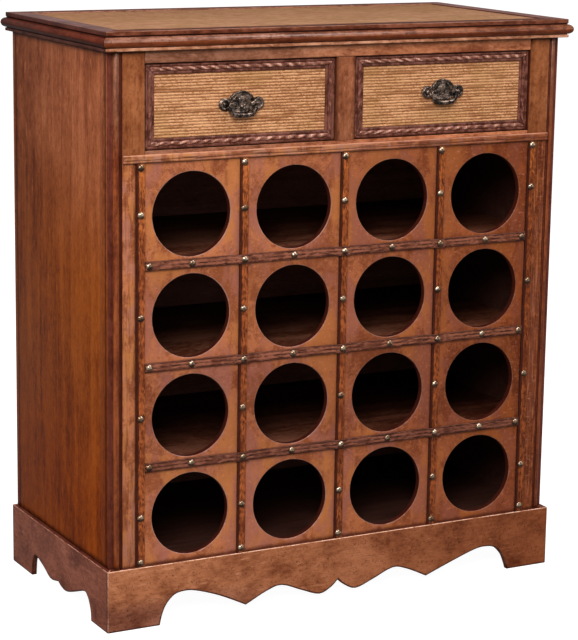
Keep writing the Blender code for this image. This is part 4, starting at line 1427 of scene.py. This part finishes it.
@dataclass
class Lattice:
    """The leather front with its holes, and the nailed straps over it."""

    shop: Workshop
    columns: int = 4
    rows: int = 4
    hole_radius: float = 0.0612
    hole_drop: float = 0.003
    hole_steps: int = 18
    lip: float = 0.0011
    lip_angles: tuple[float, ...] = (0.0, 0.5, 1.0, math.pi / 2)
    dip: float = 0.00012
    dip_scale: float = 60.0
    strap_width: float = 0.014
    strap_thickness: float = 0.003
    strap_roll: float = 0.0009
    strap_sink: float = 0.0003
    strap_step: float = 0.004
    strap_sway: float = 0.018
    sway_scale: float = 45.0
    ramp: float = 0.006
    nail_radius: float = 0.0053
    nail_height: float = 0.0033
    nail_foot: float = 0.0003
    nail_margin: float = 0.006
    nail_drift: float = 0.0008

    @property
    def seat(self) -> float:
        """Place of the back of the straps."""
        return MARKS.front - MARKS.seat

    def column_x(self, column: float) -> float:
        """Returns the middle of a column."""
        return MARKS.cell_width * (column - (self.columns - 1) / 2)

    def row_z(self, row: float) -> float:
        """Returns the middle of a row of cells."""
        return MARKS.plinth_top + MARKS.cell_height * (row + 0.5)

    def build(self) -> list[str]:
        """Makes the panel, the straps and the nails.

        Returns:
            What was made.
        """
        self.panel()
        for index in range(self.columns + 1):
            self.upright(index)
        for index in range(1, self.rows):
            self.crosspiece(index)
        return ["leather panel", "eight straps", "57 nails"]

    def panel(self) -> None:
        """Makes the leather-covered panel with rolled edges round its holes."""
        low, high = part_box("bottle_panel")
        draft = Draft()
        lines_x = [low.x, *(self.column_x(column + 0.5) for column in range(self.columns - 1)), high.x]
        lines_z = [low.z, *(self.row_z(row + 0.5) for row in range(self.rows - 1)), high.z]
        for row in range(self.rows):
            for column in range(self.columns):
                centre = (self.column_x(column), self.row_z(row) - self.hole_drop)
                self.cell(draft, (lines_x[column], lines_z[row]), (lines_x[column + 1], lines_z[row + 1]),
                          centre, (low.y, high.y))
        outer = [(low.x, low.z), (high.x, low.z), (high.x, high.z), (low.x, high.z)]
        draft.skin([[(x, y, z) for x, z in outer] for y in (low.y, high.y)], capped=False)
        self.shop.show(draft, "bottle_panel_leather", CASE, "panel_leather",
                       ("panel_leather", "rim_leather", "wall_leather"), "bottle_panel")

    def cell(self, draft: Draft, near: Pair, far: Pair, centre: Pair, depth: Pair) -> None:
        """Adds the leather round one hole.

        Args:
            draft: mesh that is added to.
            near: lowest corner of the cell.
            far: highest corner of the cell.
            centre: middle of the hole.
            depth: front and back of the panel.
        """
        edge = []
        corners = [near, (far[0], near[1]), far, (near[0], far[1])]
        for start, end in zip(corners, corners[1:] + corners[:1]):
            for step in range(self.hole_steps):
                share = step / self.hole_steps
                edge.append((start[0] + (end[0] - start[0]) * share, start[1] + (end[1] - start[1]) * share))
        angles = [math.atan2(z - centre[1], x - centre[0]) for x, z in edge]

        def ring(radius: float, y: float) -> list[Point]:
            """Returns a circle of points at one depth."""
            return [(centre[0] + radius * math.cos(a), y, centre[1] + radius * math.sin(a)) for a in angles]

        front, back = depth
        turns = [(1 - math.cos(angle), 1 - math.sin(angle)) for angle in self.lip_angles]
        roll = [ring(self.hole_radius + self.lip * wide, front + self.lip * deep) for wide, deep in turns]
        middle = []
        for (x, z), (rim_x, _, rim_z) in zip(edge, roll[-1]):
            half_x, half_z = ((rim_x + x) / 2, (rim_z + z) / 2)
            spot = Vector((half_x * self.dip_scale, 4.0, half_z * self.dip_scale))
            middle.append((half_x, front + self.dip * (1 + noise.noise(spot)), half_z))
        # The hole walls take the near-black leather: painted shade.
        face, rim, wall = range(3)
        kinds = (wall, wall, rim, rim, rim, face, face)
        draft.skin([[(x, back, z) for x, z in edge], ring(self.hole_radius, back), *roll, middle,
                    [(x, front, z) for x, z in edge]], capped=False, kinds=lambda row: kinds[row])

    def strap_section(self, thickness: float) -> list[Pair]:
        """Returns the section of a strap: place across it and height over its seat.

        Args:
            thickness: height of the crown.

        Returns:
            Points from one foot over the crown to the other foot.
        """
        half, roll, sink = (self.strap_width / 2, self.strap_roll, self.strap_sink)
        side = [(half, 0.0), (half, thickness - roll - sink), (half - roll * 0.3, thickness - roll * 0.45),
                (half - roll, thickness - sink), (half * 0.5, thickness - sink / 6)]
        return side + [(0.0, thickness)] + [(-x, y) for x, y in reversed(side)]

    def strap(self, node: str, run: Run, line: float,
              rise: Callable[[float], float] = lambda along: 0.0) -> None:
        """Makes a strap.

        Args:
            node: solid that it stands for.
            run: direction that it follows.
            line: place of its middle line.
            rise: gives how far it climbs over its seat at a place along it.
        """
        draft = Draft()
        low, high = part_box(node)
        start, end = (low[run.value], high[run.value])
        count = round((end - start) / self.strap_step)
        section = self.strap_section(self.strap_thickness)
        loops = []
        for index in range(count + 1):
            along = start + (end - start) * index / count
            climb = rise(along)
            spot = Vector((along * self.sway_scale, 2.0, climb * 10))
            wobble = 1 - self.strap_sway * (1 + noise.noise(spot))
            loop = [(line + across * wobble, self.seat - (climb + high)) for across, high in section]
            loops.append([(wide, y, along) if run is UP else (along, y, wide) for wide, y in loop])
        # The strap's side faces take the near-black edge leather: painted shade.
        sides = (0, len(section) - 2, len(section) - 1)
        draft.skin(loops, kinds=lambda row: lambda index: int(index in sides), ends=1)
        self.shop.show(draft, node + "_leather", CASE, "strap_leather",
                       (f"strap_leather_{run.name.lower()}", "strap_edge"), node, 40)

    def upright(self, index: int) -> None:
        """Makes a vertical strap and its nails.

        Args:
            index: number of the strap from the left, from 0.
        """
        node = f"strap_vertical_{index + 1}"
        low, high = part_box(node)
        x = (low.x + high.x) / 2
        self.strap(node, UP, x)
        lift = self.nail_drift * index
        heights = [low.z + self.nail_margin + lift, high.z - self.nail_margin]
        heights += [self.row_z(row) + lift for row in range(self.rows)]
        self.nails(node, [(x, self.seat - self.strap_thickness, z) for z in heights])

    def crosspiece(self, index: int) -> None:
        """Makes a horizontal strap, which rises over the middle uprights, and its nails.

        Args:
            index: number of the strap from below, from 1.
        """
        z = MARKS.plinth_top + MARKS.cell_height * index
        node = f"strap_horizontal_{index}"
        top = self.strap_thickness + MARKS.seat
        inner = self.strap_width / 2 + MARKS.seat
        crossings = [MARKS.cell_width * (line - self.columns / 2) for line in range(1, self.columns)]

        def rise(along: float) -> float:
            """Tells how far the strap climbs.

            Args:
                along: place along the strap.

            Returns:
                Height over its seat.
            """
            near = min(abs(along - crossing) for crossing in crossings)
            share = min(1.0, max(0.0, (inner + self.ramp - near) / self.ramp))
            return top * share * share * (3 - 2 * share)

        self.strap(node, ACROSS, z, rise)
        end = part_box(node)[1].x - self.nail_margin
        face = self.seat - self.strap_thickness
        spots = [(x, face, z) for x in (-end, end, *map(self.column_x, range(self.columns)))]
        self.nails(node, spots + [(crossing, face - top, z) for crossing in crossings])

    def nails(self, node: str, spots: Sequence[Point]) -> None:
        """Makes the domed nails of a strap.

        Args:
            node: solid of the strap.
            spots: middle of each nail on the strap's face.
        """
        draft = Draft()
        for spot in spots:
            foot = Vector(spot) - OUT * self.nail_foot
            # The lowest ring and the faces that look down take darker metals: painted shade.
            draft.dome(foot, self.nail_radius, self.nail_height + self.nail_foot, 7, 20, rim=1, under=2)
        self.shop.show(draft, node + "_nails", CASE, "antique_iron",
                       ("nail_brass", "nail_foot", "nail_under"), sharp=60)


@dataclass
class Band:
    """The creased leather band under the drawers."""

    shop: Workshop
    slices: int = 150
    steps: int = 28
    margin: float = 0.0004
    crease: float = 1.95
    crease_sway: float = 0.25
    crease_width: float = 0.16
    crease_depth: float = 0.16

    def build(self) -> list[str]:
        """Makes the band with its folds.

        Returns:
            What was made.
        """
        low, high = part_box("mid_rail")
        draft = Draft()
        half = (high.z - low.z) / 2
        depth = high.y - low.y
        loops = []
        for index in range(self.slices + 1):
            x = low.x + (high.x - low.x) * index / self.slices
            loop = []
            crease = self.crease + self.crease_sway * noise.noise(Vector((x * 11, 5.0, 1.0)))
            for step in range(self.steps + 1):
                angle = math.pi * step / self.steps
                height = math.cos(angle) * half
                fold = noise.noise(Vector((x * 14, step * 0.95, 3.0)))
                dip = self.crease_depth * math.exp(-((angle - crease) / self.crease_width) ** 2)
                puff = depth * (0.62 + 0.32 * math.sin(angle) + 0.06 * fold * math.sin(angle) - dip)
                level = (low.z + high.z) / 2 + height * (1 - 0.03 * abs(noise.noise(Vector((x * 30, 0, 9)))))
                loop.append((x, high.y - (puff if 0 < step < self.steps else depth * 0.45), level))
            loop += [(x, high.y, low.z + self.margin), (x, high.y, high.z - self.margin)]
            loops.append(loop)
        draft.skin(loops)
        self.shop.show(draft, "leather_band", CASE, "band_leather", ("band_leather",), "mid_rail", 60)
        return ["leather band"]


@dataclass
class DrawerFront:
    """The woven front of one drawer with its roped trim."""

    shop: Workshop
    side: str
    rope_radius: float = 0.0036
    rope_pitch: float = 0.0345
    rope_step: float = 0.0016
    rope_sides: int = 14
    trim_width: float = 0.0145
    trim_steps: int = 40
    mitre_gap: float = 0.0002
    rope_valley: float = 0.72
    rope_round: float = 0.7
    # Nearness to a crest and facing out, beyond which rope faces take painted highlights.
    crest_highlight: Pair = (0.9, 0.8)
    side_rub: Pair = (0.5, 0.4)
    weave_step: float = 0.0035

    def build(self) -> list[str]:
        """Makes the weave and the four trim mouldings, and dresses the drawer's box.

        Returns:
            What was made.
        """
        body = f"drawer_{self.side}"
        weave = Weave(*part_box(body + "_weave"), UP, self.weave_step).draft()
        self.shop.show(weave, body + "_reed", body, "woven_reed", ("drawer_reed",), body + "_weave", 80)
        for part in ("side_left", "side_right", "back", "bottom"):
            self.shop.paint("drawer_wood", f"{body}_{part}")
        self.shop.paint("trim_wood", body + "_front")
        for part, outwards in (("top", (0, 0, 1)), ("bottom", (0, 0, -1)), ("left", (-1, 0, 0)),
                               ("right", (1, 0, 0))):
            self.trim(body, part, Vector(outwards))
        return [body + " front", body + " trim with its rope"]

    def profile(self, height: float) -> list[Pair]:
        """Returns the section of a trim moulding.

        Args:
            height: how far the moulding stands out.

        Returns:
            Place outwards from the inner edge and height over the drawer front of each point.
        """
        width = self.trim_width
        outer = [(0.0, 0.0018), (0.0008, 0.0010), (0.0028, 0.0010), (0.0036, 0.0022)]
        inner = [(0.0072, 0.0040), (0.0036, 0.0030), (0.0028, 0.0024), (0.0008, 0.0024), (0.0, 0.0032)]
        return [(0.0, 0.0), (width, 0.0), *((width - x, height - drop) for x, drop in outer),
                *((x, height - drop) for x, drop in inner)]

    def trim(self, body: str, part: str, outwards: Vector) -> None:
        """Makes one mitred moulding and the rope on it.

        Args:
            body: body of the drawer.
            part: top, bottom, left or right.
            outwards: direction from the drawer's middle.
        """
        node = f"{body}_trim_{part}"
        low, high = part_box(node)
        middle = (low + high) / 2
        level = outwards.x == 0
        along = Vector((1, 0, 0)) if level else Vector((0, 0, 1))
        half = (high.x - low.x) / 2 if level else (high.z - low.z) / 2
        inner = half - self.trim_width
        core = self.trim_width / 2
        root = Vector((middle.x, high.y, middle.z)) - outwards * core
        height = high.y - low.y
        count = round(2 * half / self.rope_step)
        angles = [math.tau * step / self.rope_sides for step in range(self.rope_sides)]

        def spot(share: float, x: float, y: float) -> Vector:
            """Returns a point of the moulding, from its share of the way between the mitres."""
            return root + outwards * x + Vector((0, -y, 0)) + along * share * (inner + x - self.mitre_gap)

        def crest(share: float, angle: float) -> float:
            """Returns how near a place on the rope is to the crest of a strand."""
            return abs(math.cos(angle - math.pi * share * (inner + core) * 2 / self.rope_pitch))

        def strand(share: float, angle: float) -> Vector:
            """Gives a point of the rope.

            Args:
                share: share of the way between the mitres, from -1 to 1.
                angle: angle round the rope.

            Returns:
                The point.
            """
            valley = self.rope_valley
            radius = self.rope_radius * (valley + (1 - valley) * crest(share, angle) ** self.rope_round)
            return spot(share, core + radius * math.cos(angle),
                        height - self.rope_radius + radius * math.sin(angle))

        def rub_and_highlight(row: int) -> Callable[[int], int]:
            """Tells the crests and sides of the strands that take painted highlights, in a row of faces.

            Args:
                row: number of the row along the rope.

            Returns:
                What gives the finish of a face of that row.
            """
            share = -1 + 2 * (row + 0.5) / count

            def kind(step: int) -> int:
                """Tells the finish of one face.

                Args:
                    step: number of the face round the rope.

                Returns:
                    2 on a crest, 1 on a side that faces out and 0 elsewhere.
                """
                angle = math.tau * (step + 0.5) / self.rope_sides
                near, facing = (crest(share, angle), math.sin(angle))
                if near > self.crest_highlight[0] and facing > self.crest_highlight[1]:
                    return 2
                return int(near > self.side_rub[0] and facing > self.side_rub[1])

            return kind

        draft = Draft()
        steps = self.trim_steps
        draft.skin([[spot(-1 + 2 * step / steps, x, y) for x, y in self.profile(height)]
                    for step in range(steps + 1)])
        places = (-1 + 2 * index / count for index in range(count + 1))
        draft.skin([[strand(place, angle) for angle in angles] for place in places], kinds=rub_and_highlight)
        # Crests and outward sides of the rope take lighter woods: painted highlights.
        finishes = (("trim_wood", "rope_wood", "rope_crest") if level else
                    ("trim_wood", "trim_wood", "rope_side"))
        self.shop.show(draft, node + "_moulding", body, "dark_trim", finishes, node)


@dataclass
class Pull:
    """A cast pull: plate with a shell-like dome and two scrolled ears, posts and a bail."""

    shop: Workshop
    side: str
    thick: float = 0.0028
    plate_drop: float = 0.001
    ear_radius: float = 0.0095
    ear_offset: float = 0.0265
    ear_steps: int = 24
    dome_height: float = 0.0190
    dome_half: float = 0.020
    dome_shoulder: float = 0.0075
    bow_drop: float = 0.0125
    bow_half: float = 0.019
    bow_shoulder: float = 0.0085
    lip_half: float = 0.0172
    lip_drop: float = 0.0146
    lip_thick: float = 0.0011
    scroll_radius: float = 0.0066
    scroll_bead: float = 0.0017
    button_radius: float = 0.0031
    button_height: float = 0.0024
    post_offset: float = 0.0149
    post_radius: float = 0.0034
    bail_half: float = 0.0208
    bail_drop: float = 0.0172
    bail_radius: float = 0.0037
    arm_radius: float = 0.0019
    pin_radius: float = 0.0011
    pin_gap: float = 0.0004
    field_depth: float = 0.72
    rim: tuple[Pair, ...] = ((1.0, 0.0), (1.0, 0.5), (0.965, 0.8), (0.90, 0.9), (0.84, 0.72))
    ribs: tuple[Pair, ...] = ((0.90, 0.0011), (0.66, 0.0010), (0.42, 0.0010))
    boss: Point = (0.0062, 0.0052, 0.0016)
    beads: tuple[Point, ...] = (
        (0.0, -0.0035, 0.0021), (-0.0044, -0.0018, 0.0015), (0.0044, -0.0018, 0.0015),
        (-0.0040, -0.0062, 0.0014), (0.0040, -0.0062, 0.0014), (0.0, -0.0082, 0.0014),
        (0.0, 0.0010, 0.0013), (-0.0082, -0.0052, 0.0013), (0.0082, -0.0052, 0.0013))
    bead_rise: float = 0.9
    turning: tuple[Pair, ...] = ((1.0, 0.0), (1.0, 0.12), (0.82, 0.2), (0.82, 0.3), (0.98, 0.4), (1.0, 0.66),
                                 (0.9, 0.84), (0.6, 0.95), (0.22, 1.0))
    bend: tuple[Pair, ...] = ((1.0, 0.25), (0.93, 0.62), (0.62, 0.93), (0.0, 1.0))
    bend_steps: int = 8

    def build(self) -> list[str]:
        """Makes the plate and the bail.

        Returns:
            What was made.
        """
        hinge = next(j for j in frame["joints"] if j["name"] == f"bail_{self.side}_hinge")
        axis = Vector(hinge["pos_m"])
        self.plate(axis)
        self.bail(axis)
        return [f"pull {self.side}", f"bail {self.side}"]

    def arch(self, half: float, shoulder: float, crown: float, steps: int) -> list[Pair]:
        """Gives an arc from its right shoulder over the crown to its left shoulder.

        Args:
            half: half of its width.
            shoulder: height of its shoulders.
            crown: height of its crown.
            steps: number of steps.

        Returns:
            Its points.
        """
        rise = crown - shoulder
        radius = (half ** 2 + rise ** 2) / (2 * rise)
        reach = math.asin(half / radius)
        angles = [-reach + 2 * reach * step / steps for step in range(steps + 1)]
        return [(-radius * math.sin(a), crown - radius + radius * math.cos(a)) for a in angles]

    def outline(self) -> list[Pair]:
        """Draws the outline of the plate.

        Returns:
            Points round the plate, from its middle.
        """
        start = -math.pi + math.asin(self.bow_shoulder / self.ear_radius)
        end = math.pi - math.asin(self.dome_shoulder / self.ear_radius)
        angles = [start + (end - start) * step / self.ear_steps for step in range(self.ear_steps + 1)]
        ear = [(self.ear_offset + self.ear_radius * math.cos(angle), self.ear_radius * math.sin(angle))
               for angle in angles]
        dome = self.arch(self.dome_half, self.dome_shoulder, self.dome_height, 20)
        bow = [(-x, -z) for x, z in self.arch(self.bow_half, self.bow_shoulder, self.bow_drop, 16)]
        return ear[:-1] + dome + [(-x, z) for x, z in reversed(ear)][1:] + bow

    def plate(self, axis: Vector) -> None:
        """Makes the plate with its relief and its two posts.

        Args:
            axis: middle of the bail's hinge.
        """
        node = f"pull_plate_{self.side}"
        low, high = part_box(node)
        middle_x, middle_z = ((low.x + high.x) / 2, axis.z - self.plate_drop)
        face = high.y - self.thick * self.field_depth
        draft = Draft()
        shape = self.outline()

        def at(x: float, z: float) -> Vector:
            """Returns a point on the plate's field."""
            return Vector((middle_x + x, face, middle_z + z))

        def ring(scale: float, share: float) -> list[Point]:
            """Draws the outline in towards the plate's middle line.

            Args:
                scale: how much of the outline's reach is left.
                share: share of the plate's thickness.

            Returns:
                The points of the ring.
            """
            points = []
            for x, z in shape:
                side_x = math.copysign(min(abs(x), self.ear_offset), x)
                points.append((middle_x + side_x + (x - side_x) * scale, high.y - self.thick * share,
                               middle_z + z * scale))
            return points

        draft.skin([ring(scale, share) for scale, share in self.rim])
        # A thin lip below the bow stands for the plate reaching lower and also darkens the weave where the
        # bail's shade falls: a dark sheet for painted shadow.
        bow = self.arch(self.lip_half, self.bow_shoulder, self.lip_drop, 16)
        draft.skin([[(middle_x - x, y, middle_z - z) for x, z in bow]
                    for y in (high.y, high.y - self.lip_thick)])
        root = self.dome_shoulder * 0.5
        arc = self.arch(self.dome_half, self.dome_shoulder, self.dome_height, 18)
        for scale, bead in self.ribs:
            draft.tube([at(x * scale, root + (z - root) * scale) for x, z in arc], [bead] * len(arc), 8)
        level, radius, height = self.boss
        draft.dome(at(0.0, level), radius, height, 4)
        for sign in (-1, 1):
            ear = sign * self.ear_offset
            scroll = [at(ear + self.scroll_radius * c, self.scroll_radius * s) for c, s in compass(28, 1)]
            draft.tube(scroll, [self.scroll_bead] * len(scroll), 8)
            draft.dome(at(ear, 0.0), self.button_radius, self.button_height, 5, 14)
            self.post(draft, Vector((middle_x + sign * self.post_offset, face, axis.z)), low.y)
        for x, z, radius in self.beads:
            draft.dome(at(x, z), radius, radius * self.bead_rise, 4, 10)
        self.shop.show(draft, node + "_cast", f"drawer_{self.side}", "antique_iron", ("antique_iron",), node)

    def post(self, draft: Draft, root: Vector, tip: float) -> None:
        """Adds a turned post that holds the bail's pin.

        Args:
            draft: mesh that is added to.
            root: middle of the post on the plate.
            tip: front end of the post.
        """
        loops = []
        for share, along in self.turning:
            radius = self.post_radius * share
            y = root.y - (root.y - tip) * along
            loops.append([(root.x + radius * c, y, root.z + radius * s) for c, s in compass(18)])
        draft.skin(loops)

    def bail(self, axis: Vector) -> None:
        """Makes the bail that hangs from its two pins.

        Args:
            axis: middle of its hinge.
        """
        pin_end = self.post_offset - self.post_radius + self.pin_gap
        pin_start = self.post_offset + self.post_radius + MARKS.seat
        drop = self.bail_drop
        knots = [(pin_start + self.arm_radius, 0.0),
                 *((self.bail_half * wide, -drop * deep) for wide, deep in self.bend)]
        padded = [Vector(knot) for knot in (knots[0], *knots, knots[-1])]
        half = [(pin_end, 0.0, self.pin_radius), (pin_start, 0.0, self.pin_radius)]
        for before, start, end, after in zip(padded, padded[1:], padded[2:], padded[3:]):
            for step in range(self.bend_steps):
                t = step / self.bend_steps
                square = (2 * before - 5 * start + 4 * end - after) * t ** 2
                cube = (3 * start - before - 3 * end + after) * t ** 3
                point = 0.5 * (2 * start + (end - before) * t + square + cube)
                swell = (self.bail_radius - self.arm_radius) * min(1.0, -point.y / drop)
                half.append((point.x, point.y, self.arm_radius + swell))
        half.append((0.0, -drop, self.bail_radius))
        run = [(-x, z, radius) for x, z, radius in half] + half[-2::-1]
        draft = Draft()
        draft.tube([axis + Vector((x, 0.0, z)) for x, z, _ in run], [radius for _, _, radius in run], 14)
        name = f"bail_{self.side}"
        self.shop.show(draft, name + "_cast", name, "antique_iron", ("antique_iron",), name, 60)


def main() -> None:
    """Builds the looks of the chest."""
    logging.basicConfig(level=logging.INFO, format="%(name)s: %(message)s")
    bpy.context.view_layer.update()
    shop = Workshop()
    parts = [Studio(), Carcass(shop), TopFrame(shop), Lattice(shop), Band(shop)]
    for side in SIDES:
        parts += [DrawerFront(shop, side), Pull(shop, side)]
    for part in parts:
        log.info("%s: %s", type(part).__name__, ", ".join(part.build()))


if __name__ == "__main__":
    main()
